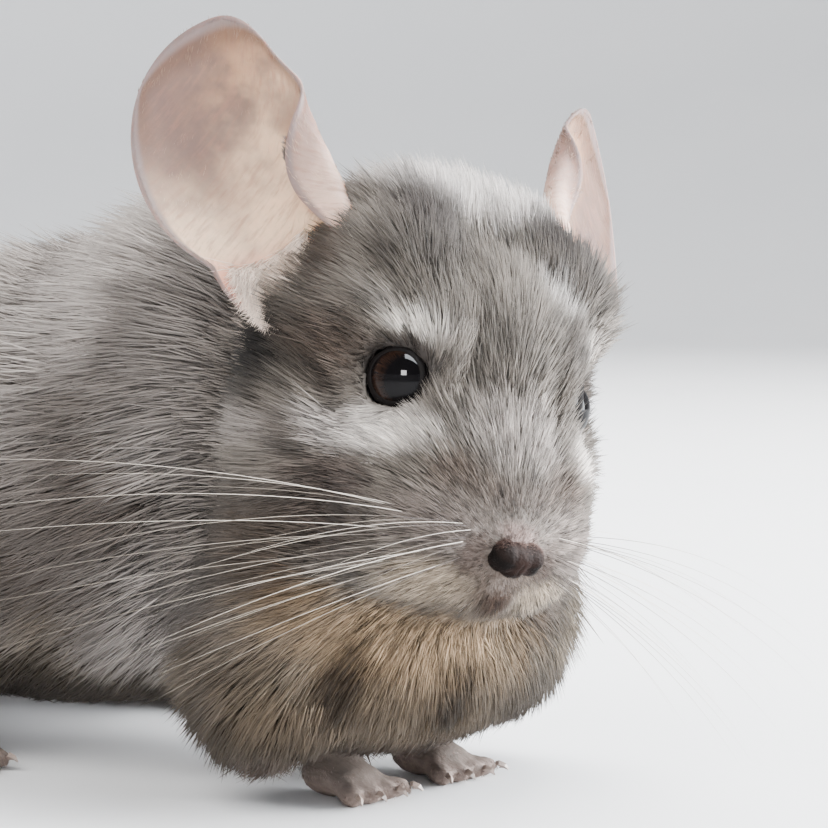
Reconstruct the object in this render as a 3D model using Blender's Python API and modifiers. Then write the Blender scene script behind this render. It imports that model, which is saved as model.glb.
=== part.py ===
"""A life-size chinchilla on all fours, its head turned a little to its right.

The animal faces -Y with +Z up, and +X is its left side. Sizes are millimetres
times MM, so Blender works in metres. Head pieces are modelled round the midpoint
between the eyes, with the face to -Y, and hang from one empty that turns the head.
Each soft form is a group of ellipsoids blended into one closed surface.
"""

import math
import random

import bmesh
import bpy
from mathutils import Euler, Matrix, Vector

MM = 0.001
GAP = 0.3 * MM  # kept between touching nodes
SIDES = {"L": 1, "R": -1}

# Body, with the floor at zero and the forefeet near Y zero
BACK_HEIGHT = 109 * MM  # over the shoulders
RUMP_HEIGHT = 87 * MM
HALF_WIDTH = 51 * MM
RUMP_Y = 186 * MM
BELLY_CLEARANCE = 6 * MM

# Head
HEAD_AT = Vector((-13, -8, 71)) * MM
HEAD_YAW, HEAD_PITCH, HEAD_ROLL = (math.radians(a) for a in (-19.6, 4.9, 11.2))
CROWN_HEIGHT = 36 * MM
TEMPLE_HALF_WIDTH = 29 * MM
MUZZLE_HALF_WIDTH = 21 * MM
NOSE_AT = Vector((0, -20.5, -24)) * MM
NOSE_WIDTH = 9.6 * MM
EYE_HALF_SPACING = 15 * MM
EYE_RADIUS = 5.9 * MM
EYE_SIDE, EYE_LIFT = math.radians(56), math.radians(6)  # the way that an eye looks
LID_THICKNESS = 1.2 * MM
LID_OPENING = 5.4 * MM  # half the width of the cut between the lids

# Ears, with their places on the left side
EAR_ROOT = {"L": Vector((23, 25, 19)) * MM, "R": Vector((24.8, 24.5, 15)) * MM}
EAR_TIP = Vector((37.5, 48, 51.2)) * MM
EAR_FACING = math.radians(31)  # how far the cup opens away from straight ahead
EAR_OUTER = 22.5 * MM  # from the long axis to the back edge
EAR_INNER = 9.5 * MM  # from the long axis to the front edge, in the upper half
EAR_FLAP = 11.5 * MM  # what the front edge gains below, where it's rolled over
EAR_BELOW_ROOT = {"L": 9 * MM, "R": 12 * MM}
EAR_LOBE = {"L": -9 * MM, "R": 1.5 * MM}  # what the back edge gains below; the left one is tucked in
EAR_THICKNESS = 1.3 * MM
EAR_COLUMNS = (5, 9)  # behind the long axis and before it
EAR_ROWS = 12

# Feet
FOREPAW_X, FOREPAW_Y = 12 * MM, 24 * MM
HINDFOOT_X, HEEL_Y, HINDFOOT_LENGTH = 40 * MM, 138 * MM, 58 * MM
FORE_SPREAD = [math.radians(a) for a in (-30, -10, 10, 30)]
HIND_SPREAD = [math.radians(a) for a in (-14, 0, 14)]

# Tail
TAIL_ROUTE = [Vector(p) * MM for p in ((0, 172, 40), (0, 216, 22), (6, 256, 30), (14, 276, 70))]
TAIL_BRUSH_STARTS = 0.15  # share of the route
TAIL_CORE = 8 * MM  # its radius where the brush starts
TAIL_LOCKS = 54
TAIL_LOCK_LENGTH = 34 * MM

# Whiskers, in rows on each upper lip
WHISKER_ROWS, WHISKER_COLUMNS = 3, 4
WHISKER_LENGTH = 80 * MM
WHISKER_RADIUS = 0.42 * MM


def clear_scene():
    for obj in list(bpy.data.objects):
        bpy.data.objects.remove(obj)


def new_material(name, colour, roughness):
    material = bpy.data.materials.new(name)
    material.use_nodes = True
    shader = material.node_tree.nodes["Principled BSDF"]
    shader.inputs["Base Color"].default_value = (*colour, 1)
    shader.inputs["Roughness"].default_value = roughness
    material.diffuse_color = (*colour, 1)
    return material


def new_object(name, mesh, parent=None):
    obj = bpy.data.objects.new(name, mesh)
    bpy.data.collections["chinchilla"].objects.link(obj)
    obj.parent = parent
    return obj


def from_bmesh(name, bm, parent=None):
    mesh = bpy.data.meshes.new(name)
    bm.to_mesh(mesh)
    bm.free()
    return new_object(name, mesh, parent)


def apply_modifiers(obj):
    bpy.context.view_layer.update()
    graph = bpy.context.evaluated_depsgraph_get()
    made = bpy.data.meshes.new_from_object(obj.evaluated_get(graph))
    old = obj.data
    obj.modifiers.clear()
    obj.data = made
    bpy.data.meshes.remove(old)


def keep_largest(obj):
    """Keeps only the closed surface with the most faces, after a Boolean."""
    bm = bmesh.new()
    bm.from_mesh(obj.data)
    left, shells = set(bm.faces), []
    while left:
        shell, rim = set(), {left.pop()}
        while rim:
            shell |= rim
            rim = {near for face in rim for edge in face.edges for near in edge.link_faces} - shell
        left -= shell
        shells.append(shell)
    shells.sort(key=len, reverse=True)
    loose = [face for shell in shells[1:] for face in shell]
    bmesh.ops.delete(bm, geom=loose, context="FACES")
    bm.to_mesh(obj.data)
    bm.free()


def blended(name, blobs, voxel, rounds, parent=None):
    """One closed form from ellipsoids, each (centre, radii, turn in degrees), in millimetres.

    A blob may carry a matrix of its own after these.
    """
    bm = bmesh.new()
    for centre, radii, turn, *matrix in blobs:
        angles = Euler([math.radians(a) for a in turn])
        place = Matrix.LocRotScale(Vector(centre) * MM, angles, Vector(radii) * MM)
        if matrix:
            place = matrix[0] @ place
        bmesh.ops.create_uvsphere(bm, u_segments=32, v_segments=20, radius=1, matrix=place)
    obj = from_bmesh(name, bm, parent)
    remesh = obj.modifiers.new("One surface", "REMESH")
    remesh.mode = "VOXEL"
    remesh.voxel_size = voxel * MM
    soften = obj.modifiers.new("Soften", "SMOOTH")
    soften.factor = 0.5
    soften.iterations = rounds
    apply_modifiers(obj)
    return obj


def soften_body(obj, starts, ends, rounds):
    """More softening towards the rump, fully from the distance ends along Y."""
    group = obj.vertex_groups.new(name="body")
    for vert in obj.data.vertices:
        share = (vert.co.y - starts) / (ends - starts)
        group.add([vert.index], min(1, max(0, share)), "REPLACE")
    soften = obj.modifiers.new("Soften body", "SMOOTH")
    soften.factor = 0.5
    soften.iterations = rounds
    soften.vertex_group = group.name
    apply_modifiers(obj)
    obj.vertex_groups.clear()


def thin_out(obj, triangles):
    """Leaves about this many triangles, most of them where the form bends most."""
    obj.data.calc_loop_triangles()
    fewer = obj.modifiers.new("Fewer faces", "DECIMATE")
    fewer.ratio = min(1, triangles / len(obj.data.loop_triangles))
    apply_modifiers(obj)
    return obj


def swollen(obj, gap):
    """A copy of obj with its surface moved out by gap."""
    mesh = obj.data.copy()
    copy = new_object(obj.name + "_cutter", mesh)
    bpy.context.view_layer.update()
    copy.matrix_world = obj.matrix_world
    bm = bmesh.new()
    bm.from_mesh(mesh)
    bm.normal_update()
    moves = [vert.normal * gap for vert in bm.verts]
    for vert, move in zip(bm.verts, moves):
        vert.co += move
    bm.to_mesh(mesh)
    bm.free()
    return copy


def combine(obj, operation, other, solver="MANIFOLD"):
    """Applies one Boolean of obj with an object or a collection, which is then removed."""
    boolean = obj.modifiers.new(operation, "BOOLEAN")
    boolean.operation = operation
    boolean.solver = solver
    if isinstance(other, bpy.types.Collection):
        boolean.operand_type = "COLLECTION"
        boolean.collection = other
    else:
        boolean.object = other
    apply_modifiers(obj)
    gone = list(other.objects) if isinstance(other, bpy.types.Collection) else [other]
    for used in gone:
        bpy.data.objects.remove(used)
    if isinstance(other, bpy.types.Collection):
        bpy.data.collections.remove(other)
    keep_largest(obj)


def carve(obj, *neighbours):
    """Cuts obj clear of its neighbours, by the gap that touching nodes keep."""
    for neighbour in neighbours:
        combine(obj, "DIFFERENCE", swollen(neighbour, GAP))


def fuse(obj, pieces, solver="MANIFOLD"):
    group = bpy.data.collections.new("pieces of " + obj.name)
    bpy.context.scene.collection.children.link(group)
    for piece in pieces:
        bpy.data.collections["chinchilla"].objects.unlink(piece)
        group.objects.link(piece)
    combine(obj, "UNION", group, solver)


def part_off(whole, name, cutter, parent=None):
    """Makes a node of what the cutter holds of whole, and cuts it and the gap out of whole."""
    piece = new_object(name, whole.data.copy())
    inner = new_object(name + "_inner", cutter.data.copy(), cutter.parent)
    combine(piece, "INTERSECT", inner)
    combine(whole, "DIFFERENCE", swollen(cutter, GAP))
    bpy.data.objects.remove(cutter)
    return piece


def ball(name, centre, radii, segments, rings, parent=None, turn=None):
    """An ellipsoid of its own, with centre and radii in metres."""
    bm = bmesh.new()
    place = Matrix.LocRotScale(centre, turn, radii)
    bmesh.ops.create_uvsphere(bm, u_segments=segments, v_segments=rings, radius=1, matrix=place)
    return from_bmesh(name, bm, parent)


def block(name, low, high, parent=None):
    bm = bmesh.new()
    place = Matrix.LocRotScale((low + high) / 2, None, high - low)
    bmesh.ops.create_cube(bm, size=1, matrix=place)
    return from_bmesh(name, bm, parent)


def stand_flat(obj):
    """Cuts off what is below the floor, which leaves the flats that the feet stand on."""
    deep = 40 * MM
    far = 400 * MM
    combine(obj, "DIFFERENCE", block("floor", Vector((-far, -far, -deep)), Vector((far, far, 0))))


def tapered_tube(name, points, radii, parent=None, resolution=0):
    """A closed tube through points, as thick at each as radii says."""
    curve = bpy.data.curves.new(name, "CURVE")
    curve.dimensions = "3D"
    curve.bevel_depth = 1
    curve.bevel_resolution = resolution
    curve.use_fill_caps = True
    spline = curve.splines.new("POLY")
    spline.points.add(len(points) - 1)
    for knot, point, radius in zip(spline.points, points, radii):
        knot.co = (*point, 1)
        knot.radius = radius
    guide = new_object(name + "_route", curve, parent)
    bpy.context.view_layer.update()
    graph = bpy.context.evaluated_depsgraph_get()
    mesh = bpy.data.meshes.new_from_object(guide.evaluated_get(graph))
    bpy.data.objects.remove(guide)
    bm = bmesh.new()
    bm.from_mesh(mesh)
    bmesh.ops.remove_doubles(bm, verts=bm.verts, dist=0.01 * MM)
    bmesh.ops.recalc_face_normals(bm, faces=bm.faces)
    bm.to_mesh(mesh)
    bm.free()
    return new_object(name, mesh, parent)


def bezier(points, t):
    """The place and the direction at share t of a cubic curve."""
    a, b, c, d = points
    s = 1 - t
    place = a * s**3 + b * 3 * s * s * t + c * 3 * s * t * t + d * t**3
    along = (b - a) * s * s + (c - b) * 2 * s * t + (d - c) * t * t
    return place, along.normalized()


def frame_matrix(origin, across, along, face):
    """A matrix with its X, Y and Z axes and its origin in these places."""
    turn = Matrix((across, along, face)).transposed().to_4x4()
    return Matrix.Translation(origin) @ turn


# The body


def body_blobs():
    top, rump, wide = BACK_HEIGHT / MM, RUMP_HEIGHT / MM, HALF_WIDTH / MM
    low, end = BELLY_CLEARANCE / MM, RUMP_Y / MM
    paw, heel = FOREPAW_X / MM, HEEL_Y / MM
    blobs = [
        ((0, 22, 39), (44, 29, 33), (0, 0, 0)),
        ((0, 55, top - 40), (41, 42, 40), (0, 0, 0)),
        ((0, 96, (top - 10 + low) / 2), (wide - 1, 84, (top - 10 - low) / 2), (-7, 0, 0)),
        ((0, 122, (rump + low + 6) / 2), (wide, 58, (rump - low - 6) / 2), (-4, 0, 0)),
        ((0, end - 34, 42), (0.82 * wide, 36, 34), (0, 0, 0)),
        ((0, end - 12, 40), (17, 18, 17), (0, 0, 0)),
    ]
    for way in SIDES.values():
        blobs += [
            ((30 * way, 24, 27), (13.5, 17, 21), (12, 0, 0)),
            (((paw + 2) * way, 26, 17), (7.5, 9, 13), (14, 0, 0)),
            ((36 * way, heel - 18, 36), (20, 36, 34), (-10, 0, 0)),
            ((38 * way, heel - 4, 17), (12, 16, 13), (0, 0, 0)),
        ]
    return blobs


def make_foreleg(whole, side, way):
    centre, radii = Vector((29 * way, 24, 20)) * MM, Vector((25, 23, 27)) * MM
    return part_off(whole, "foreleg_" + side, ball("cut", centre, radii, 12, 8))


def make_thigh(whole, side, way):
    centre, radii = Vector((47 * way, 118, 34)) * MM, Vector((27, 42, 42)) * MM
    return part_off(whole, "thigh_" + side, ball("cut", centre, radii, 12, 8))


def make_foot(name, x, heel, palm, toes, toe_size, spread, triangles):
    """A foot on the floor, pointing to -Y, and the claws at its toes' ends."""
    blobs, claws = list(palm), []
    root, reach = toes
    thick, half_length = toe_size
    for number, angle in enumerate(spread, 1):
        way = Vector((math.sin(angle), -math.cos(angle), 0))
        middle = Vector((x + 0.55 * root[0] * math.sin(angle), heel - root[1], thick)) + way * reach * 0.5
        blobs.append((middle, (thick, half_length, thick * 1.05), (0, 0, math.degrees(angle))))
        tip = middle + way * (half_length - 0.9)
        claws.append((f"claw_{name}_{number}", tip, way, thick))
    foot = thin_out(blended(name, blobs, voxel=0.55, rounds=3), triangles)
    stand_flat(foot)
    nails = [make_claw(*claw) for claw in claws]
    for nail in nails:
        carve(nail, foot)
    return foot, nails


def make_claw(name, tip, way, thick):
    """A short curved nail that meets the end of a toe face to face."""
    start = Vector((tip.x, tip.y, thick * 1.1)) * MM
    points = [start, start + way * 0.9 * MM + Vector((0, 0, 0.25)) * MM,
              start + way * 1.9 * MM, start + way * 2.6 * MM - Vector((0, 0, 0.7)) * MM]
    return tapered_tube(name, points, [0.75 * MM, 0.7 * MM, 0.5 * MM, 0.14 * MM])


def make_forepaw(side, way):
    x, y = FOREPAW_X / MM * way, FOREPAW_Y / MM
    palm = [((x, y + 1, 4), (5.6, 5.5, 3.9), (0, 0, 0)), ((x, y - 3.5, 3), (5.4, 3.6, 2.8), (0, 0, 0))]
    return make_foot("forepaw_" + side, x, y, palm, ((14, 5), 4.6), (1.65, 4.4), FORE_SPREAD, 300)


def make_hindfoot(side, way):
    x, heel, length = HINDFOOT_X / MM * way, HEEL_Y / MM, HINDFOOT_LENGTH / MM
    palm = [((x, heel - 7, 6.5), (6.2, 7, 7), (0, 0, 0)),
            ((x, heel - 0.42 * length, 4.6), (5.4, 0.36 * length, 5), (0, 0, 0)),
            ((x, heel - 0.68 * length, 3.6), (7, 8, 3.8), (0, 0, 0))]
    return make_foot("hindfoot_" + side, x, heel, palm, ((19, 0.76 * length), 8), (2.3, 7), HIND_SPREAD, 310)


# The head, in its own place round the midpoint between the eyes


def eye_axis(way):
    flat = math.cos(EYE_LIFT)
    return Vector((way * math.sin(EYE_SIDE) * flat, -math.cos(EYE_SIDE) * flat, math.sin(EYE_LIFT)))


def head_blobs(turned):
    temple, top, muzzle = TEMPLE_HALF_WIDTH / MM, CROWN_HEIGHT / MM, MUZZLE_HALF_WIDTH / MM
    blobs = [
        ((0, 22, top - 24), (25, 20, 24), (0, 0, 0)),
        ((0, 4, 2), (17, 17, 22), (0, 0, 0)),
        ((0, -6, -11), (13.5, 12, 15), (-20, 0, 0)),
        ((0, -10, -19), (13, 10.5, 10), (0, 0, 0)),
        ((0, -11, -31), (7, 7.2, 5.6), (0, 0, 0)),
        ((0, -2, -30), (14, 12, 8), (0, 0, 0)),
        ((0, 40, -4), (31, 24, 32), (0, 0, 0)),
    ]
    for way in SIDES.values():
        blobs += [
            ((9 * way, 19, top - 21), (18, 19, 20), (0, 0, 0)),
            (((temple - 14) * way, 9, 14), (13, 14, 15), (0, 0, 0)),
            ((11 * way, 1, 8), (9.5, 10.5, 9.5), (0, 0, 0)),
            ((10 * way, 1, -15), (14, 17, 14), (0, 0, 0)),
            (((muzzle - 12) * way, -8, -21), (12, 10.5, 10), (0, 0, 0)),
            ((10 * way, -2, -27), (12.5, 12, 9), (0, 0, 0)),
            ((20 * way, 16, -12), (15, 15, 18), (0, 0, 0)),
            ((19 * way, 20, 4), (14, 14, 16), (0, 0, 0)),
        ]
    return [(*blob, turned) for blob in blobs]


def make_head(whole, pivot):
    centre, radii = Vector((0, 2, 2)) * MM, Vector((46, 40, 46)) * MM
    return part_off(whole, "head", ball("cut", centre, radii, 20, 12, pivot))


def make_neck(whole, pivot):
    centre, radii = Vector((0, 24, 4)) * MM, Vector((52, 43, 47)) * MM
    return part_off(whole, "neck", ball("cut", centre, radii, 16, 10, pivot))


def raise_lids(whole, pivot):
    """Raises the lids over each eye and cuts the opening that it looks through."""
    for way in SIDES.values():
        axis = eye_axis(way)
        centre = Vector((EYE_HALF_SPACING * way, 0, 0))
        turn = axis.to_track_quat("Z", "Y")
        lid_radius = EYE_RADIUS + LID_THICKNESS
        lids = ball("lids", centre, Vector((1, 1, 1)) * lid_radius, 32, 20, pivot, turn)
        combine(whole, "UNION", lids)
        reach = Vector((LID_OPENING * 1.06, LID_OPENING * 0.98, EYE_RADIUS * 2))
        opening = ball("opening", centre + axis * reach.z, reach, 32, 20, pivot, turn)
        combine(whole, "DIFFERENCE", opening)


def make_eye(side, way, pivot):
    centre = Vector((EYE_HALF_SPACING * way, 0, 0))
    turn = eye_axis(way).to_track_quat("Z", "Y")
    return ball("eye_" + side, centre, Vector((1, 1, 1)) * EYE_RADIUS, 14, 8, pivot, turn)


def make_nose(pivot):
    """The bare pad, two soft lobes with a slit of a nostril under each."""
    wide = NOSE_WIDTH / MM / 2
    x, y, z = NOSE_AT / MM
    nose = thin_out(blended("nose", [
        ((x, y + 2.5, z), (wide * 0.9, 4, 3.3), (0, 0, 0)),
        ((x - wide * 0.5, y + 1.8, z + 0.3), (wide * 0.52, 3.2, 3), (0, 0, 0)),
        ((x + wide * 0.5, y + 1.8, z + 0.3), (wide * 0.52, 3.2, 3), (0, 0, 0)),
        ((x, y + 2.2, z - 2.4), (1.7, 2.6, 2.4), (0, 0, 0)),
    ], voxel=0.4, rounds=4, parent=pivot), 330)
    for way in SIDES.values():
        points = [Vector((x + way * wide * a, y + b, z + c)) * MM
                  for a, b, c in ((0.28, -2.5, -1.9), (0.55, -1.2, -1.3), (0.86, 0.2, -0.2), (1.1, 1.5, 0.9))]
        slit = tapered_tube("nostril", points, [r * MM for r in (0.4, 0.6, 0.6, 0.3)], pivot)
        combine(nose, "DIFFERENCE", slit)
    return nose


def make_lower_jaw(head, pivot):
    """The chin, whose edge along the lips is the line of the mouth."""
    centre, radii = Vector((0, -10.5, -35.3)) * MM, Vector((8.5, 11, 6)) * MM
    return part_off(head, "lower_jaw", ball("cut", centre, radii, 16, 10, pivot))


def make_whisker_pad(head, side, way, pivot):
    """One upper lip, on its side of the cleft below the nose."""
    centre, radii = Vector((10 * way, -13.5, -23)) * MM, Vector((14, 13.5, 9.2)) * MM
    cutter = ball("cut", centre, radii, 16, 10, pivot)
    wall, near = 30 * MM, 0.5 * GAP * way
    low, high = sorted((near, -wall * way))
    cleft = block("cleft", Vector((low, -wall * 2, -wall * 3)), Vector((high, wall, wall)), pivot)
    combine(cutter, "DIFFERENCE", cleft)
    return part_off(head, "whisker_pad_" + side, cutter)


def make_whiskers(way, pivot):
    """Long tapered feelers, the front ones straight out and the rest swept back and down."""
    shares = (0, 0.3, 0.6, 0.85, 1)
    taper = (1, 0.86, 0.72, 0.62, 0.2)
    whiskers = []
    for row in range(WHISKER_ROWS):
        for column in range(WHISKER_COLUMNS):
            start = Vector((9 + column, -18 + 2 * column, -20 - 2.6 * row)) * MM
            back = math.radians(-10 + 9 * column)
            rise = math.radians(-4 - 9 * row + 3 * column)
            out = Vector((math.cos(back) * math.cos(rise), math.sin(back) * math.cos(rise), math.sin(rise)))
            length = WHISKER_LENGTH * (0.76 + 0.08 * column - 0.05 * row)
            sweep = Vector((0, 9, -15 + 3 * row)) * MM
            points = [start + out * length * t + sweep * t * t for t in shares]
            points = [Vector((point.x * way, point.y, point.z)) for point in points]
            radii = [WHISKER_RADIUS * share for share in taper]
            whiskers.append(tapered_tube("whisker", points, radii, pivot))
    return whiskers


def ease(share):
    share = min(1, max(0, share))
    return share * share * (3 - 2 * share)


def ear_bend(across, along):
    """The turn of the ear's sheet at a place across it: a cup, and the roll of its front edge."""
    cup = 26 + 50 * math.exp(-max(along, 0) / (10 * MM))  # radians for each metre
    strength = 2.5 * ease((38 * MM - along) / (24 * MM))
    starts = 11.5 * MM - 0.14 * along
    return cup * across + strength * ease((across - starts) / (4.5 * MM))


def make_ear(side, way, pivot):
    """A leaf bent into a cup, from a grid whose square is drawn out to a disc."""
    mirror = Vector((way, 1, 1))
    root, tip = EAR_ROOT[side] * mirror, EAR_TIP * mirror
    along = (tip - root).normalized()
    face = Vector((math.sin(EAR_FACING) * way, -math.cos(EAR_FACING), 0))
    face = (face - along * face.dot(along)).normalized()
    front = along.cross(face)
    front *= -way if front.x > 0 else way  # towards the middle of the head
    below = EAR_BELOW_ROOT[side]
    length = (tip - root).length + below
    behind, before = EAR_COLUMNS
    bm = bmesh.new()
    bmesh.ops.create_grid(bm, x_segments=behind + before, y_segments=EAR_ROWS, size=1)
    for vert in bm.verts:
        column = (vert.co.x + 1) / 2 * (behind + before)
        u = column / behind - 1 if column < behind else (column - behind) / before
        v = vert.co.y
        x, y = u * math.sqrt(1 - v * v / 2), v * math.sqrt(1 - u * u / 2)
        place = length * (y + 1) / 2 - below
        flap = EAR_FLAP * ease((38 * MM - place) / (30 * MM))
        lobe = EAR_LOBE[side] * ease((14 * MM - place) / (20 * MM))
        span = x * (EAR_OUTER + lobe if x < 0 else EAR_INNER + flap)
        steps = 16
        bends = [ear_bend(span * (k + 0.5) / steps, place) for k in range(steps)]
        sideways = sum(math.cos(bend) for bend in bends) * span / steps
        forward = sum(math.sin(bend) for bend in bends) * span / steps
        lean = 4 * MM * y * y
        vert.co = root + along * place + front * sideways + face * (forward + lean)
    ear = from_bmesh("ear_" + side, bm, pivot)
    shell = ear.modifiers.new("Thickness", "SOLIDIFY")
    shell.thickness = EAR_THICKNESS
    shell.offset = 0
    apply_modifiers(ear)
    bm = bmesh.new()
    bm.from_mesh(ear.data)
    bmesh.ops.recalc_face_normals(bm, faces=bm.faces)
    bm.to_mesh(ear.data)
    bm.free()
    return ear


# The tail


def make_lock(name, base, tip_way, outward, length, width):
    """A flat tuft of long hair, widest below its middle, that bends back along the tail."""
    levels = (0.3, 0.62)
    thick = 0.36 * width
    bm = bmesh.new()
    bmesh.ops.create_cone(bm, cap_ends=True, segments=4, radius1=1, radius2=1, depth=1)
    for level in levels:
        bmesh.ops.bisect_plane(bm, geom=bm.verts[:] + bm.edges[:] + bm.faces[:],
                               plane_co=(0, 0, level - 0.5), plane_no=(0, 0, 1))
    for vert in bm.verts:
        t = vert.co.z + 0.5
        fullness = 0.62 + 1.15 * t - 1.71 * t * t
        lift = 0.16 * length * t * (1 - t)
        vert.co = Vector((vert.co.x * width / 2 * fullness, vert.co.y * thick / 2 * fullness + lift, t * length))
    across = outward.cross(tip_way).normalized()
    bm.transform(frame_matrix(base, across, tip_way.cross(across), tip_way))
    return from_bmesh(name, bm)


def make_tail():
    """A short furred root, then the brush: a thin core and long overlapping tufts round it."""
    share = TAIL_BRUSH_STARTS
    root_points = [bezier(TAIL_ROUTE, share * k / 5)[0] for k in range(6)]
    root = tapered_tube("tail_root", root_points, [(15 - 5 * k / 5) * MM for k in range(6)], resolution=3)
    points = [bezier(TAIL_ROUTE, share + (1 - share) * k / 6)[0] for k in range(7)]
    brush = tapered_tube("tail_brush", points, [TAIL_CORE * (1 - 0.6 * k / 6) for k in range(7)], resolution=1)
    carve(root, brush)
    draw = random.Random(11)
    locks = []
    for number in range(TAIL_LOCKS):
        down = (number + 0.5) / TAIL_LOCKS
        place, along = bezier(TAIL_ROUTE, share + (1 - share) * (0.06 + 0.92 * down))
        side = along.cross(Vector((0, 0, 1))).normalized()
        angle = number * math.radians(137.5) + draw.uniform(-0.2, 0.2)
        outward = side * math.cos(angle) + side.cross(along) * math.sin(angle)
        splay = math.radians(30 - 15 * down + draw.uniform(-3, 3))
        tip_way = along * math.cos(splay) + outward * math.sin(splay)
        depth = 0.5 * TAIL_CORE * (1 - 0.6 * down)
        length = TAIL_LOCK_LENGTH * (0.85 + 0.2 * down + draw.uniform(-0.06, 0.06))
        locks.append(make_lock("lock", place + outward * depth, tip_way, outward, length, 7.5 * MM))
    fuse(brush, locks)
    return root, brush


def shade(obj, material):
    obj.data.materials.clear()
    obj.data.materials.append(material)
    obj.data.shade_smooth()
    obj.data.set_sharp_from_angle(angle=math.radians(50))


def centre_on_floor(objects, pivot):
    """Moves the whole animal so that the middle of the box round it is over the origin."""
    bpy.context.view_layer.update()
    points = [obj.matrix_world @ vert.co for obj in objects for vert in obj.data.vertices]
    for axis in (0, 1):
        values = [point[axis] for point in points]
        shift = (min(values) + max(values)) / 2
        for obj in objects:
            if obj.parent is None:
                obj.location[axis] -= shift
        pivot.location[axis] -= shift


def main():
    clear_scene()
    parts = bpy.data.collections.new("chinchilla")
    bpy.context.scene.collection.children.link(parts)

    coat = new_material("coat", (0.33, 0.31, 0.30), 0.9)
    pale_coat = new_material("pale_coat", (0.56, 0.52, 0.47), 0.9)
    ear_skin = new_material("ear_skin", (0.60, 0.43, 0.36), 0.6)
    foot_skin = new_material("foot_skin", (0.50, 0.38, 0.34), 0.6)
    nose_skin = new_material("nose_skin", (0.16, 0.11, 0.10), 0.5)
    eye_dark = new_material("eye_dark", (0.02, 0.012, 0.01), 0.08)
    horn = new_material("horn", (0.45, 0.38, 0.33), 0.4)

    pivot = bpy.data.objects.new("head_pivot", None)
    parts.objects.link(pivot)
    pivot.location = HEAD_AT
    pivot.rotation_mode = "YXZ"
    pivot.rotation_euler = (HEAD_PITCH, HEAD_ROLL, HEAD_YAW)
    bpy.context.view_layer.update()

    blobs = body_blobs() + head_blobs(pivot.matrix_world)
    torso = blended("torso", blobs, voxel=1.7, rounds=10)
    soften_body(torso, 20 * MM, 60 * MM, 90)
    raise_lids(torso, pivot)
    thin_out(torso, 3900)
    feet, claws = [], []
    for side, way in SIDES.items():
        forepaw, fore_claws = make_forepaw(side, way)
        hindfoot, hind_claws = make_hindfoot(side, way)
        carve(forepaw, torso)
        carve(hindfoot, torso)
        feet += [forepaw, hindfoot]
        claws += fore_claws + hind_claws
    tail_root, tail_brush = make_tail()
    carve(tail_root, torso)
    nose = make_nose(pivot)
    carve(nose, torso)
    head = make_head(torso, pivot)
    neck = make_neck(torso, pivot)
    legs = []
    for side, way in SIDES.items():
        legs += [make_foreleg(torso, side, way), make_thigh(torso, side, way)]

    eyes = {side: make_eye(side, way, pivot) for side, way in SIDES.items()}
    carve(head, *eyes.values())
    pads = [make_whisker_pad(head, side, way, pivot) for side, way in SIDES.items()]
    jaw = make_lower_jaw(head, pivot)
    for pad, way in zip(pads, SIDES.values()):
        whiskers = make_whiskers(way, pivot)
        carve(head, *whiskers)
        carve(jaw, *whiskers)
        fuse(pad, whiskers)
    ears = [make_ear(side, way, pivot) for side, way in SIDES.items()]
    for ear in ears:
        carve(ear, head, neck)

    finishes = [
        (coat, [torso, neck, head, *legs, tail_root, tail_brush]),
        (pale_coat, [jaw, *pads]),
        (ear_skin, ears),
        (foot_skin, feet),
        (nose_skin, [nose]),
        (eye_dark, list(eyes.values())),
        (horn, claws),
    ]
    for material, objects in finishes:
        for obj in objects:
            shade(obj, material)
    centre_on_floor([obj for _, objects in finishes for obj in objects], pivot)


main()
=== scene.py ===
import math

import bmesh
import bpy
import numpy as np
from mathutils import Euler, Matrix, Vector
from mathutils.kdtree import KDTree


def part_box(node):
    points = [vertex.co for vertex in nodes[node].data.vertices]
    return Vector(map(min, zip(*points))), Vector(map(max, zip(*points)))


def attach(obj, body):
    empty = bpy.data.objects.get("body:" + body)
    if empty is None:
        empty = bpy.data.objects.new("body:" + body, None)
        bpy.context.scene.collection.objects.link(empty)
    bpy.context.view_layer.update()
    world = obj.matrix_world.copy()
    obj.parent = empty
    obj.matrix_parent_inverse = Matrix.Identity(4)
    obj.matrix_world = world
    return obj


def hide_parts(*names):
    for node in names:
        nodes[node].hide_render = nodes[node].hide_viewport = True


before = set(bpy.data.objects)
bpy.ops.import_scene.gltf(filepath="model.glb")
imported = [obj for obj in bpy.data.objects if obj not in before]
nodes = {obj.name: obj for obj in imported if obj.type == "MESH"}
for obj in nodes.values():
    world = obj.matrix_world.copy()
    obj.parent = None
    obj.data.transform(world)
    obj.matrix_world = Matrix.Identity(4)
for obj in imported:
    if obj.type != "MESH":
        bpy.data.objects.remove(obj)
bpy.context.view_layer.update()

mm = 0.001
rng = np.random.default_rng(7)

# where the head and the body are, worked out from the eyes of the frame
turns = {"pitch": 4.9, "roll": 11.2, "yaw": -19.6, "headInBody": (-13, -8, 71)}
sides = {"L": 1, "R": -1}
eyeAt = {side: sum(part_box("eye_" + side), Vector()) / 2 for side in sides}
headAt = (eyeAt["L"] + eyeAt["R"]) / 2
headTurn = Euler([math.radians(turns[key]) for key in ("pitch", "roll", "yaw")], "YXZ").to_matrix()
bodyAt = headAt - Vector(turns["headInBody"]) * mm
headAxes = np.array(headTurn)


def toHead(points):
    return (np.asarray(points) - np.array(headAt)) @ headAxes / mm


def fromHead(points):
    return np.asarray(points, float) @ headAxes.T * mm + np.array(headAt)


def toBody(points):
    return (np.asarray(points) - np.array(bodyAt)) / mm


def ease(values, low, high):
    share = np.clip((values - low) / (high - low), 0, 1)
    return share * share * (3 - 2 * share)


def mixed(share, low, high):
    return low + (high - low) * share


def unit(vectors):
    size = np.linalg.norm(vectors, axis=-1, keepdims=True)
    return vectors / np.maximum(size, 1e-12)


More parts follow.
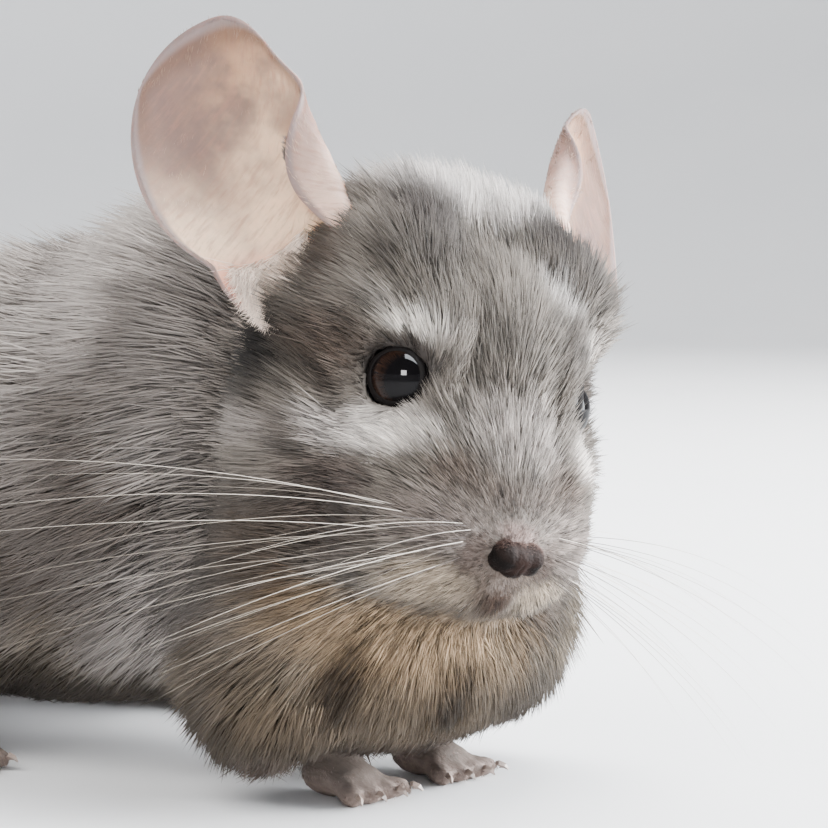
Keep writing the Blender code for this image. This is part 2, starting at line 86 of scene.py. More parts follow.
def lengths(vectors):
    return np.linalg.norm(vectors, axis=1)


# places on the left brought to the side that way says
def onSide(way, places):
    return np.asarray(places) * np.array([way, 1, 1])


# screen values to linear ones
def paint(red, green, blue):
    values = np.array([red, green, blue]) / 255
    return np.where(values < 0.04, values / 12.92, ((values + 0.055) / 1.055) ** 2.4)


# smooth noise, mostly between -1 and 1, with features of about size millimetres
def wave(points, size, seed):
    own = np.random.default_rng(seed)
    total = np.zeros(len(points))
    for octave in range(10):
        way = unit(own.normal(size=3)) * own.uniform(0.7, 1.6) * math.tau / size
        total += np.sin(points @ way + own.uniform(0, math.tau))
    return total / 4


# material graphs


# an output socket that can be added, multiplied and so on, so that shader maths reads as plain sums
class Wire:
    def __init__(self, graph, socket):
        self.graph = graph
        self.socket = socket

    def __add__(self, other):
        return self.graph.maths("ADD", self, other)

    def __radd__(self, other):
        return self.graph.maths("ADD", other, self)

    def __sub__(self, other):
        return self.graph.maths("SUBTRACT", self, other)

    def __rsub__(self, other):
        return self.graph.maths("SUBTRACT", other, self)

    def __mul__(self, other):
        return self.graph.maths("MULTIPLY", self, other)

    def __rmul__(self, other):
        return self.graph.maths("MULTIPLY", other, self)

    def __pow__(self, other):
        return self.graph.maths("POWER", self, other)


class Graph:
    def __init__(self, name, **uniform):
        self.material = bpy.data.materials.new(name)
        self.material.use_nodes = True
        self.nodes = self.material.node_tree.nodes
        self.links = self.material.node_tree.links
        self.shader = self.nodes["Principled BSDF"]
        for key, value in uniform.items():
            self.shader.inputs[key.replace("_", " ")].default_value = value

    def node(self, kind, settings=None, values=None, out=0):
        made = self.nodes.new(kind)
        for key, value in (settings or {}).items():
            setattr(made, key, value)
        for key, value in (values or {}).items():
            self.feed(made.inputs[key], value)
        return Wire(self, made.outputs[out])

    def feed(self, socket, value):
        if isinstance(value, Wire):
            self.links.new(value.socket, socket)
        elif isinstance(value, (tuple, list, np.ndarray)) and socket.type == "RGBA":
            socket.default_value = (*value[:3], 1)
        else:
            socket.default_value = value

    def maths(self, operation, first, second):
        return self.node("ShaderNodeMath", {"operation": operation}, {0: first, 1: second})

    def blend(self, share, first, second, kind="MIX"):
        return self.node("ShaderNodeMix", {"data_type": "RGBA", "blend_type": kind},
                         {0: share, 6: first, 7: second}, out=2)

    # a colour made darker or lighter by one level for all three channels
    def shaded(self, colour, level):
        grey = self.node("ShaderNodeCombineColor", values={0: level, 1: level, 2: level})
        return self.blend(1.0, colour, grey, "MULTIPLY")

    def smooth(self, value, low, high):
        return self.node("ShaderNodeMapRange", {"interpolation_type": "SMOOTHSTEP"},
                         {0: value, 1: low, 2: high})

    def attribute(self, name, out=2):
        return self.node("ShaderNodeAttribute", {"attribute_name": name}, out=out)

    def place(self):
        return self.node("ShaderNodeTexCoord", out=3)

    def stretched(self, vector, scale):
        return self.node("ShaderNodeMapping", values={0: vector, 3: scale})

    def noise(self, vector, scale, detail=3, rough=0.5):
        return self.node("ShaderNodeTexNoise", values={"Vector": vector, "Scale": scale,
                                                       "Detail": detail, "Roughness": rough})

    def bump(self, height, strength, distance):
        return self.node("ShaderNodeBump", values={"Height": height, "Strength": strength,
                                                   "Distance": distance})

    def finish(self, **inputs):
        for key, value in inputs.items():
            self.feed(self.shader.inputs[key.replace("_", " ")], value)
        return self.material


# hairs from a dark root over a light band to a tip that is dark on some of them
def furMaterial(name, rootShade, tipDark):
    graph = Graph(name, Roughness=0.62, Specular_IOR_Level=0.04, Sheen_Weight=0.03)
    along = graph.attribute("along")
    tone = graph.attribute("tone")
    light = rootShade + graph.smooth(along, 0.1, 0.62) * (1 - rootShade)
    ticked = graph.smooth(along, 0.72, 0.98) * graph.smooth(tone, 0.62, 0.4) * tipDark
    level = light * tone * (1 - ticked)
    return graph.finish(Base_Color=graph.shaded(graph.attribute("pelt", out=0), level))


# the skin below the coat: the same markings, darker as painted shade between the hairs, with the fine grain
# of short hair
def hideMaterial():
    graph = Graph("skinUnderCoat", Roughness=0.75, Specular_IOR_Level=0.2)
    place = graph.place()
    grain = graph.noise(graph.stretched(place, (1, 0.35, 1)), 1700, 2, 0.6)
    mottle = graph.noise(place, 160, 3)
    colour = graph.shaded(graph.attribute("pelt", out=0), 0.5 + 0.35 * grain + 0.2 * mottle)
    return graph.finish(Base_Color=colour, Normal=graph.bump(grain, 0.6, 0.0004))


# thin skin, pink where it is bare and grey in soft blots, with fine slanting creases
def earMaterial():
    graph = Graph("earLeaf", Subsurface_Weight=0.5, Subsurface_Radius=(1.0, 0.5, 0.35),
                  Subsurface_Scale=0.0012, Specular_IOR_Level=0.05)
    across, up, front = (graph.attribute(key) for key in ("across", "up", "front"))
    place = graph.place()
    blots = graph.noise(place, 120, 3, 0.55)
    fine = graph.noise(place, 900, 3, 0.6)
    slant = graph.node("ShaderNodeCombineXYZ", values={0: up * 34 - across * 9, 1: across * 3, 2: front})
    creases = graph.noise(slant, 1.6, 4, 0.6)
    bare = graph.blend(graph.smooth(blots, 0.4, 0.66), paint(222, 190, 160), paint(200, 170, 145))
    rosy = graph.blend(graph.smooth(up, 0.3, 0.14) * 0.8, bare, paint(226, 150, 128))
    tan = graph.blend(graph.smooth(blots, 0.36, 0.6), paint(158, 122, 96), paint(116, 93, 81))
    upper = graph.smooth(up + 0.3 * blots - 0.12 * across, 0.55, 0.98)
    inner = graph.blend(upper, rosy, tan)
    greyer = graph.smooth(0.4 * blots - across, 0.05, 0.7) * graph.smooth(up, 0.36, 0.68) * 0.85
    inner = graph.blend(greyer, inner, paint(108, 86, 80))
    outer = graph.blend(graph.smooth(blots, 0.3, 0.7), paint(150, 134, 128), paint(118, 104, 100))
    canal = graph.smooth((across - 0.28) ** 2 * 6 + (up - 0.16) ** 2 * 60, 0.7, 0.1)
    inner = graph.blend(canal * 0.8, inner, paint(112, 52, 38))
    # painted shadow in the valley under the rolled front flap
    flapShadow = graph.smooth(across, 0.22, 0.36) * graph.smooth(up, 0.2, 0.4) * graph.smooth(up, 0.72, 0.5)
    inner = graph.blend(flapShadow * 0.7, inner, paint(112, 80, 68))
    flap = graph.smooth(across, 0.35, 0.6)
    warm = graph.blend(graph.smooth(up + 0.25 * blots, 0.42, 0.74), paint(214, 182, 166),
                       paint(128, 102, 94))
    outer = graph.blend(flap * 0.9, outer, warm)
    skin = graph.blend(front, outer, inner)
    skin = graph.blend(graph.smooth(creases, 0.45, 0.7) * 0.45, skin, paint(146, 108, 92))
    edge = graph.attribute("edge")
    ring = graph.smooth(edge, 0.72, 0.9) * graph.smooth(up, 0.45, 0.85) * 0.75
    skin = graph.blend(ring, skin, paint(92, 68, 56))
    skin = graph.blend(graph.smooth(edge, 0.9, 0.96) * 0.85, skin, paint(122, 108, 106))
    return graph.finish(Base_Color=graph.shaded(skin, 0.9 + 0.2 * fine), Roughness=0.42 + 0.2 * fine,
                        Normal=graph.bump(creases + 0.35 * fine, 0.35, 0.0006))


def noseMaterial():
    graph = Graph("noseLeather", Specular_IOR_Level=0.03)
    place = graph.place()
    pores = graph.node("ShaderNodeTexVoronoi", {"feature": "SMOOTH_F1"}, {"Vector": place, "Scale": 2600})
    grain = graph.noise(place, 1500, 3)
    tint = graph.blend(graph.smooth(graph.noise(place, 420, 2), 0.35, 0.7),
                       paint(24, 17, 15), paint(38, 28, 25))
    # darker in the nostrils, the cleft and towards both ends: painted shade in the hollows
    tint = graph.blend(graph.smooth(graph.attribute("hollowShade"), 0.15, 0.8), tint, paint(13, 10, 9))
    return graph.finish(Base_Color=tint, Roughness=0.55 + 0.22 * grain,
                        Normal=graph.bump(pores + 0.5 * grain, 0.5, 0.00025))


def lidMaterial():
    graph = Graph("lidSkin", Specular_IOR_Level=0.04)
    place = graph.place()
    grain = graph.noise(place, 2200, 3)
    tint = graph.blend(grain, paint(6, 5, 5), paint(16, 12, 11))
    rim = graph.attribute("along")
    tint = graph.blend(graph.smooth(rim, 0.84, 1.0) * 0.3, tint, paint(26, 19, 18))
    return graph.finish(Base_Color=tint, Roughness=0.45 + 0.3 * grain,
                        Normal=graph.bump(grain, 0.4, 0.0002))


# a wide pupil in a brown iris that shows as a dim ring, under a clear wet surface
def eyeMaterial():
    graph = Graph("eyeWet", Roughness=0.2, Specular_IOR_Level=0, Coat_Roughness=0.015, Coat_IOR=1.36)
    polar = graph.attribute("polar")
    turned = graph.attribute("round")
    spokes = graph.node("ShaderNodeCombineXYZ", values={0: turned * 26, 1: polar * 3})
    fibres = graph.noise(spokes, 1, 3, 0.6)
    iris = graph.blend(graph.smooth(fibres, 0.3, 0.7), paint(12, 8, 6), paint(46, 29, 20))
    ring = graph.smooth(polar, 0.66, 0.95) * graph.smooth(polar, 1.3, 1.0)
    colour = graph.blend(ring * 0.62, paint(7, 6, 7), iris)
    return graph.finish(Base_Color=colour, Coat_Weight=0.32)


def hornMaterial():
    graph = Graph("clawHorn")
    place = graph.place()
    lines = graph.noise(graph.stretched(place, (1, 0.2, 1)), 2400, 3)
    tint = graph.blend(lines, paint(92, 76, 70), paint(158, 140, 128))
    return graph.finish(Base_Color=tint, Roughness=0.3 + 0.25 * lines,
                        Normal=graph.bump(lines, 0.25, 0.0001))


def whiskerMaterial():
    graph = Graph("whiskerHair", Roughness=0.4, Specular_IOR_Level=0.1)
    tone = graph.attribute("tone")
    along = graph.attribute("along")
    shade = graph.blend(graph.smooth(tone, 0.4, 0.6), paint(58, 49, 45), paint(214, 204, 192))
    tint = graph.blend(graph.smooth(along, 0.1, 0.5) * 0.5, shade, paint(200, 188, 172))
    return graph.finish(Base_Color=tint)


def floorMaterial():
    graph = Graph("paleFloor")
    cloud = graph.noise(graph.place(), 9, 3)
    tint = graph.blend(cloud, paint(226, 227, 230), paint(233, 233, 234))
    return graph.finish(Base_Color=tint, Roughness=0.75 + 0.1 * cloud)


# mesh helpers


def addObject(name, mesh, material=None):
    obj = bpy.data.objects.new(name, mesh)
    bpy.context.scene.collection.objects.link(obj)
    if material:
        mesh.materials.clear()
        mesh.materials.append(material)
    return obj


# a mesh from vertex rows and a list of face arrays, each with faces of one size
def arrayMesh(name, verts, faces):
    mesh = bpy.data.meshes.new(name)
    loops = np.concatenate([group.ravel() for group in faces])
    sizes = np.concatenate([np.full(len(group), group.shape[1]) for group in faces])
    starts = np.concatenate([[0], np.cumsum(sizes)[:-1]])
    mesh.vertices.add(len(verts))
    mesh.vertices.foreach_set("co", np.asarray(verts, np.float32).ravel())
    mesh.loops.add(len(loops))
    mesh.loops.foreach_set("vertex_index", loops.astype(np.int32))
    mesh.polygons.add(len(starts))
    mesh.polygons.foreach_set("loop_start", starts.astype(np.int32))
    mesh.update(calc_edges=True)
    mesh.validate()
    mesh.shade_smooth()
    return mesh


def setAttribute(mesh, name, values):
    values = np.asarray(values, np.float32)
    if values.ndim == 2:
        layer = mesh.attributes.new(name, "FLOAT_COLOR", "POINT")
        rows = np.hstack([values, np.ones((len(values), 1), np.float32)])
        layer.data.foreach_set("color", rows.ravel())
    else:
        layer = mesh.attributes.new(name, "FLOAT", "POINT")
        layer.data.foreach_set("value", values)


# a new mesh with the modifiers of obj applied; obj goes
def evaluated(obj, name):
    bpy.context.view_layer.update()
    graph = bpy.context.evaluated_depsgraph_get()
    mesh = bpy.data.meshes.new_from_object(obj.evaluated_get(graph))
    mesh.name = name
    bpy.data.objects.remove(obj)
    return mesh


# one closed surface round all of a mesh, with cubes of voxel millimetres, softened
def remeshed(mesh, voxel, rounds):
    obj = addObject("work", mesh)
    surface = obj.modifiers.new("surface", "REMESH")
    surface.mode = "VOXEL"
    surface.voxel_size = voxel * mm
    soften = obj.modifiers.new("soften", "SMOOTH")
    soften.factor = 0.5
    soften.iterations = rounds
    return evaluated(obj, mesh.name)


# one value of every item in a mesh's list, as rows of numbers
def readRows(items, key, width, kind=np.float32):
    rows = np.zeros(len(items) * width, kind)
    items.foreach_get(key, rows)
    return rows.reshape(-1, width)


def coordinates(mesh):
    return readRows(mesh.vertices, "co", 3).astype(float)


def normals(mesh):
    return readRows(mesh.vertices, "normal", 3).astype(float)


def moveTo(mesh, points):
    mesh.vertices.foreach_set("co", np.asarray(points, np.float32).ravel())
    mesh.update()


def triangles(mesh):
    mesh.calc_loop_triangles()
    return readRows(mesh.loop_triangles, "vertices", 3, np.int32)


# moves each point towards the mean of its neighbours
def relaxed(points, edges, rounds):
    count = np.bincount(edges.ravel(), minlength=len(points))[:, None]
    for step in range(rounds):
        total = np.zeros_like(points)
        for axis in range(3):
            total[:, axis] = (np.bincount(edges[:, 0], points[edges[:, 1], axis], len(points))
                              + np.bincount(edges[:, 1], points[edges[:, 0], axis], len(points)))
        points = points + 0.5 * (total / np.maximum(count, 1) - points)
    return points


def edgeRows(mesh):
    return readRows(mesh.edges, "vertices", 2, np.int32)


# four-sided faces between rings of points, each ring closed on itself
def ringFaces(rings, corners):
    index = np.arange(rings * corners).reshape(rings, corners)
    after = np.roll(index, -1, 1)
    return np.stack([index[:-1], after[:-1], after[1:], index[1:]], 2).reshape(-1, 4)


# points of rings round a line, for its places, its two side ways and its radii
def tubeRings(place, side, upward, radius, corners):
    angle = np.arange(corners) / corners * math.tau
    ring = side[:, None] * np.cos(angle)[None, :, None] + upward[:, None] * np.sin(angle)[None, :, None]
    return (place[:, None] + radius[:, None, None] * ring).reshape(-1, 3)


# a bmesh written into a new mesh
def asMesh(work, name):
    mesh = bpy.data.meshes.new(name)
    work.to_mesh(mesh)
    work.free()
    return mesh


# a mesh with all its faces turned outwards
def facedOutwards(name, points, faces):
    mesh = arrayMesh(name, points, faces)
    work = bmesh.new()
    work.from_mesh(mesh)
    bmesh.ops.recalc_face_normals(work, faces=work.faces)
    work.to_mesh(mesh)
    work.free()
    return mesh


# the animal's regions for skin and coat, in millimetres in the head's axes, or the body's for the tail

regions = {
    "noseAt": np.array([0, -20.5, -24]), "eyeHalfSpacing": 15, "eyeRadius": 5.9,
    "eyeTurn": {"L": 60, "R": 51}, "eyeRise": 0.085,
    "socket": {"depth": 5.1, "full": 47, "edge": 66, "reach": 11},
    "headCentre": np.array([0, 2, 2]), "headRadii": np.array([46, 40, 46]),
    "tailRoute": ((0, 172, 40), (0, 216, 22), (6, 256, 30), (14, 276, 70)), "tailShare": 0.985,
}
eyeAxes = {}
for side, way in sides.items():
    turn = math.radians(regions["eyeTurn"][side])
    eyeAxes[side] = unit(np.array([way * math.sin(turn), -math.cos(turn), regions["eyeRise"]]))


# 1 on the head, 0 on the body
def headness(head):
    return 1 - ease(lengths((head - regions["headCentre"]) / regions["headRadii"]), 0.92, 1.32)


def noseDistance(head):
    return lengths(head - regions["noseAt"])


def eyeCentre(side):
    return np.array([sides[side] * regions["eyeHalfSpacing"], 0, 0])


def eyeDistance(head):
    mirrored = head.copy()
    mirrored[:, 0] = np.abs(mirrored[:, 0])
    return lengths(mirrored - eyeCentre("L"))


depths = {"nose": 0.45, "muzzle": 1.3, "cheek": 1.1, "nape": 2.8, "eyelid": 0.3,
          "belly": 1.2, "back": 7.2, "rump": 0.5}


# how far the coat's surface is above the skin, in millimetres
def coatDepth(points):
    head, body = toHead(points), toBody(points)
    muzzle = noseDistance(head)
    face = depths["nose"] + depths["muzzle"] * ease(muzzle, 5, 20) + depths["cheek"] * ease(muzzle, 18, 48)
    face += depths["nape"] * ease(head[:, 1], 12, 32)
    face *= mixed(ease(eyeDistance(head), 7, 14), depths["eyelid"], 1)
    trunk = depths["belly"] + depths["back"] * ease(body[:, 2], 7, 48)
    trunk *= 1 - depths["rump"] * ease(body[:, 1], 165, 185)
    return mixed(headness(head), trunk, face)


# takes the skin in front of each eyeball back below it
def pressSockets(points):
    head, socket = toHead(points), regions["socket"]
    for side in sides:
        centre = eyeCentre(side)
        away = head - centre
        distance = lengths(away)
        angle = np.degrees(np.arccos(np.clip((away @ eyeAxes[side]) / np.maximum(distance, 1e-6), -1, 1)))
        inside = (angle < socket["edge"]) & (distance < socket["reach"])
        wanted = mixed(ease(angle, socket["full"], socket["edge"]), socket["depth"], distance)
        head[inside] = centre + unit(away[inside]) * wanted[inside, None]
    return fromHead(head)


# places and ways along the tail, for shares of its length
def route(shares):
    a, b, c, d = (np.array(point, float) for point in regions["tailRoute"])
    t = np.asarray(shares, float)[:, None]
    s = 1 - t
    place = a * s**3 + b * 3 * s * s * t + c * 3 * s * t * t + d * t**3
    along = (b - a) * s * s + (c - b) * 2 * s * t + (d - c) * t * t
    return place, unit(along)


# the skin, one surface for all the flesh nodes

skinSettings = {
    "swell": 0.45, "footSwell": 0.38, "voxel": 1.5, "rounds": 6, "fineVoxel": 0.97, "fineRounds": 2,
    "steps": 5, "tailStart": 4.6, "tailEnd": 1.4, "tailSteps": 26, "tailCorners": 12,
    "padCentre": (10, -13.5, -23), "padRadii": (14, 13.5, 9.2), "padKept": 1.12,
}


# adds a node's solid to the whole, moved out by swell, without the whiskers of a pad
def fleshCopy(whole, name, swell):
    part = bmesh.new()
    part.from_mesh(nodes[name].data)
    bmesh.ops.remove_doubles(part, verts=part.verts, dist=0.002 * mm)
    if name.startswith("whisker_pad"):
        way = sides[name[-1]]
        centre = onSide(way, skinSettings["padCentre"])
        places = toHead(np.array([vert.co for vert in part.verts]))
        size = lengths((places - centre) / np.array(skinSettings["padRadii"]))
        gone = [vert for vert, value in zip(list(part.verts), size) if value > skinSettings["padKept"]]
        bmesh.ops.delete(part, geom=gone, context="VERTS")
        bmesh.ops.holes_fill(part, edges=part.edges, sides=0)
    bmesh.ops.recalc_face_normals(part, faces=part.faces)
    part.normal_update()
    moves = [vert.normal * swell * mm for vert in part.verts]
    for vert, move in zip(part.verts, moves):
        vert.co += move
    mesh = asMesh(part, name)
    whole.from_mesh(mesh)
    bpy.data.meshes.remove(mesh)


# the tail's flesh, a tapered tube along the route
def tailCore(whole):
    steps, corners = skinSettings["tailSteps"], skinSettings["tailCorners"]
    shares = np.linspace(0, regions["tailShare"], steps)
    place, along = route(shares)
    radius = mixed(shares, skinSettings["tailStart"], skinSettings["tailEnd"])
    side = unit(np.cross(along, [0, 0, 1]))
    points = tubeRings(place, side, np.cross(side, along), radius, corners) * mm + np.array(bodyAt)
    verts = [whole.verts.new(point) for point in points]
    for face in ringFaces(steps, corners):
        whole.faces.new([verts[index] for index in face])
    whole.faces.new(list(reversed(verts[:corners])))
    whole.faces.new(verts[-corners:])


feet = ["forepaw_L", "forepaw_R", "hindfoot_L", "hindfoot_R"]


def makeSkin():
    flesh = ["torso", "neck", "head", "lower_jaw", "tail_root", "whisker_pad_L", "whisker_pad_R",
             "foreleg_L", "foreleg_R", "thigh_L", "thigh_R"]
    whole = bmesh.new()
    for name in flesh:
        fleshCopy(whole, name, skinSettings["swell"])
    mesh = remeshed(asMesh(whole, "skin"), skinSettings["voxel"], skinSettings["rounds"])
    edges = edgeRows(mesh)
    depth = coatDepth(coordinates(mesh)) + skinSettings["swell"]
    steps = skinSettings["steps"]
    for step in range(steps):
        points = coordinates(mesh) - normals(mesh) * (depth * mm / steps)[:, None]
        if step < steps - 1:
            points = mixed(ease(depth, 3, 8)[:, None], points, relaxed(points, edges, 2))
        moveTo(mesh, points)
    whole = bmesh.new()
    whole.from_mesh(mesh)
    for foot in feet:
        fleshCopy(whole, foot, skinSettings["footSwell"])
    tailCore(whole)
    mesh = remeshed(asMesh(whole, "skin"), skinSettings["fineVoxel"], skinSettings["fineRounds"])
    points = pressSockets(coordinates(mesh))
    points[:, 2] = np.maximum(points[:, 2], 0)
    moveTo(mesh, points)
    mesh.shade_smooth()
    print("skin:", len(triangles(mesh)), "triangles")
    return mesh, flesh + feet


# the coat's colours, and soft patches on the head, mirrored unless the name starts with far

# belly and low are darkened by painted shade under the body, and foot by painted shade on the feet; dark is
# both the blots' colour and painted shade
coatColours = {
    "face": paint(106, 99, 92), "body": paint(172, 164, 158), "dark": paint(62, 53, 47),
    "belly": paint(118, 106, 90), "low": paint(66, 58, 48), "foot": paint(98, 87, 80),
    "toes": paint(146, 128, 119), "tail": paint(94, 84, 78), "lids": paint(30, 23, 20),
}
# each with its name, its middle in the head's axes, its radii, its colour and its strength
patches = [
    # the pale crown is a painted highlight, where light from behind shines through the fur
    ("crown", (0, 12, 33), (24, 18, 6.4), (206, 200, 197), 0.84),
    ("forehead, side", (14, 2, 24), (10, 10, 8), (66, 60, 56), 0.75),
    ("inner brow", (13, -8.4, 9), (3.4, 4, 4), (184, 175, 166), 0.6),
    ("inner eye", (10.5, -8.6, -1.5), (4, 5, 4), (132, 124, 117), 0.6),
    ("bridge", (4, -14, -4), (7, 7, 7), (170, 161, 155), 0.65),
    ("brow", (17.6, -5, 10.2), (5.6, 5.4, 3.3), (242, 234, 225), 0.93),
    ("brow, upper end", (22.6, -0.6, 12.4), (4, 4, 2.8), (178, 170, 162), 0.7),
    ("below the eye", (18.2, -6.8, -7.8), (6, 6, 4.2), (232, 223, 215), 0.9),
    ("below the eye, middle", (22.6, -2, -9), (6.8, 6.4, 4.4), (236, 228, 221), 0.92),
    ("below the eye, behind", (27.4, 3.6, -10.4), (6.4, 6, 4), (196, 188, 182), 0.8),
    ("below the eye, end", (31, 8, -12), (5, 5.4, 3.6), (96, 88, 82), 0.8),
    ("cheek, pale end", (31, 16, -12.5), (5, 6.4, 4), (156, 148, 142), 0.75),
    ("behind the eye", (27.8, 8, 3), (8, 8, 7), (82, 70, 62), 0.95),
    ("temple", (32, 23.5, -1), (10, 14, 12), (14, 11, 9), 0.98),
    # painted shadow behind the ear, on the neck and shoulder
    ("behind the ear", (40, 40, 4), (10, 14, 14), (44, 37, 33), 0.85),
    ("behind the cheek", (32, 33, -20), (8, 9, 8), (156, 147, 141), 0.65),
    ("cheek streak", (24.5, 1.5, -17.4), (10, 9, 4), (94, 83, 77), 0.88),
    ("cheek", (23, 4, -25), (12, 12, 7), (62, 53, 48), 0.85),
    ("jaw side", (29, 19, -32), (9, 14, 11), (60, 50, 42), 0.8),
    ("low cheek", (25, 6.5, -39), (8, 8, 6), (60, 46, 34), 0.8),
    ("low bridge", (3.5, -18.6, -14.6), (5, 4.4, 3.4), (92, 81, 75), 0.7),
    ("side of the nose", (11, -15.6, -12), (6, 6, 4.4), (96, 83, 75), 0.75),
    ("muzzle", (14, -17, -20.4), (10, 9, 6), (130, 119, 113), 0.75),
    ("lip", (10.5, -12, -30.2), (8, 8, 4.4), (186, 168, 146), 0.75),
    ("above the nose", (0, -21.2, -19.8), (4.6, 4, 2), (140, 119, 113), 0.8),
    ("beside the nose", (6.4, -17.5, -24.6), (3, 4, 4.2), (84, 71, 65), 0.8),
    ("below the nose", (0, -17.6, -29), (6.6, 6, 4.6), (90, 77, 69), 0.88),
    ("chin", (0.5, -17, -31.7), (3.1, 4, 2.6), (60, 46, 38), 0.9),
    ("below the chin", (0, -13, -37), (8, 8, 3.4), (128, 110, 90), 0.85),
    ("ear spot", (24, 0.6, 18.4), (3.6, 4, 3), (38, 32, 29), 0.85),
    ("between the ears", (14, 7, 28), (7.5, 9, 5.6), (46, 40, 37), 0.92),
    ("front of the ear", (25.4, 13, 18.5), (5, 5.4, 7), (58, 48, 41), 0.85),
    ("throat", (0, 3, -43), (26, 22, 9), (150, 126, 98), 0.85),
    # the chest darkened as painted shade below the head
    ("chest", (0, 2, -56), (32, 24, 8), (100, 86, 69), 0.7),
    # painted shadow between the foreleg and the chest
    ("between the forelegs", (11, 4, -52), (5, 9, 8), (44, 34, 24), 0.9),
    ("ear fluff, low", (27.4, 28, 3.4), (4.6, 5, 4.4), (226, 206, 190), 0.9),
    ("ear fluff", (26.4, 23.5, 9.6), (5.2, 4.8, 5.4), (240, 221, 206), 0.95),
    ("far brow, cover", (14, -7, 10), (7, 6, 4.6), (70, 63, 58), 0.92),
    ("far brow", (9.5, -3.4, 18.4), (4.6, 5, 4), (196, 191, 187), 0.6),
]


def tinted(share, colours, tint):
    return mixed(share[:, None], colours, tint)


# the coat's colour at places on the skin
def pelt(points):
    head, body = toHead(points), toBody(points)
    across, back, height = body.T
    dark = coatColours["dark"]
    blots = wave(body, 46, 3) * 0.5 + wave(body, 21, 4) * 0.5
    colour = tinted(ease(blots, -0.35, 0.75) * 0.6, coatColours["body"], dark)
    # painted shade on the shoulder behind the ear and on the lower flanks, mixed with random darker bands
    shoulderShade = ease(back, 84, 30) * ease(height, 96, 66) * ease(height, 8, 35)
    flankShade = ease(height, 88, 66) * ease(np.abs(across), 22, 38)
    flankShade *= 0.68 + 0.2 * ease(height, 60, 42)
    bands = wave(body * np.array([0.4, 1, 0.5]), 17, 41)
    colour = tinted(np.clip(np.maximum(0.66 * shoulderShade, flankShade) + 0.16 * bands, 0, 0.85), colour, dark)
    # the underside in beige darkened as painted shade under the body, darker still towards the bottom
    under = ease(height + 5 * wave(body, 24, 5), 33, 16) * (1 - ease(back, 160, 178))
    chest = ease(back, 26, 6) * ease(height, 58, 34)
    lowerShade = ease(height + 4 * wave(body, 13, 6), 34, 18)
    warm = tinted(lowerShade, coatColours["belly"], coatColours["low"])
    colour = tinted(np.maximum(under, chest) * 0.9, colour, warm)
    colour = tinted(headness(head), colour, coatColours["face"])
    mirrored = head.copy()
    shift = noseSettings["shift"][0] * (1 - ease(noseDistance(head), 9, 20))
    mirrored[:, 0] = np.abs(mirrored[:, 0] - shift)
    warp = np.stack([wave(head, 9, seed) for seed in (11, 12, 13)], 1) * 0.6
    ragged = wave(unit(head - regions["noseAt"] - np.array([0, 8, 0])) * 30, 2.4, 14)
    for name, centre, radii, tint, strength in patches:
        place = head if name.startswith("far") else mirrored
        spread = lengths((place + warp - np.array(centre)) / np.array(radii))
        colour = tinted(strength * (1 - ease(spread + 0.12 * ragged, 0.4, 1.4)), colour, paint(*tint))
    # dark lid fur round each eye, with painted shadow reaching further out above the eye, under the brow
    above = ease(head[:, 2], -2, 5)
    lids = 1 - ease(eyeDistance(head), 5.5 + 1.5 * above, 6.9 + 3 * above)
    colour = tinted(0.92 * lids, colour, coatColours["lids"])
    # feet darkened as painted shade where they sit under the body
    colour = tinted(ease(height, 13, 7), colour, coatColours["foot"])
    toes = ease(height + 0.6 * wave(body, 3, 15), 4.6, 2) * 0.7
    colour = tinted(toes, colour, coatColours["toes"])
    return tinted(ease(back, 172, 192), colour, coatColours["tail"])


# growing the coat


# the way that the hairs point, before it's laid along the skin
def layOf(points):
    head, body = toHead(points), toBody(points)
    onHead = headness(head)[:, None]
    fromNose = head - regions["noseAt"] - np.array([0, 2, 0])
    near = np.exp(-lengths(fromNose)[:, None] / 22)
    way = unit(fromNose) * (0.3 + 0.7 * near) + np.array([0, 0.75, -0.12]) * (1 - near)
    for side in sides:
        away = head - eyeCentre(side)
        size = lengths(away)
        away -= (away @ eyeAxes[side])[:, None] * eyeAxes[side]
        way += unit(away) * 1.5 * np.exp(-(size / 8.5) ** 2)[:, None]
    onFace = unit(way) @ headAxes.T
    across, back, height = body.T
    down = np.zeros_like(body)
    down[:, 0] = 0.25 * np.sign(across) * ease(np.abs(across), 4, 30) * ease(back, 60, 10)
    down[:, 1] = mixed(ease(back, -10, 45), 0.15, 1.0)
    down[:, 1] = mixed(ease(height, 11, 6), down[:, 1], -1.0)
    down[:, 2] = -mixed(ease(back, -10, 45), 1.0, 0.32) * ease(height, 112, 60)
    down[:, 2] -= 0.7 * ease(height, 30, 14)
    return unit(mixed(onHead, unit(down), onFace))


# roots spread over a mesh, as many in each triangle as its area and weigh() say
def scatter(mesh, count, weigh):
    points, rows, up = coordinates(mesh), triangles(mesh), normals(mesh)
    a, b, c = (points[rows[:, corner]] for corner in range(3))
    area = lengths(np.cross(b - a, c - a)) / 2
    weight = area * weigh((a + b + c) / 3, unit(np.cross(b - a, c - a)))
    picked = rng.choice(len(rows), count, p=weight / weight.sum())
    first, second = rng.random(count), rng.random(count)
    over = first + second > 1
    first[over], second[over] = 1 - first[over], 1 - second[over]
    shares = np.stack([1 - first - second, first, second], 1)[:, :, None]
    corners = rows[picked]
    spot = (points[corners] * shares).sum(1)
    return spot, unit((up[corners] * shares).sum(1))


# for each hair the leader of its clump, the nearest of some hairs picked at random
def leadersOf(places, perClump):
    leaders = rng.choice(len(places), max(2, len(places) // perClump), replace=False)
    tree = KDTree(len(leaders))
    for number, leader in enumerate(leaders):
        tree.insert(places[leader], number)
    tree.balance()
    return leaders[[tree.find(place)[1] for place in places]]


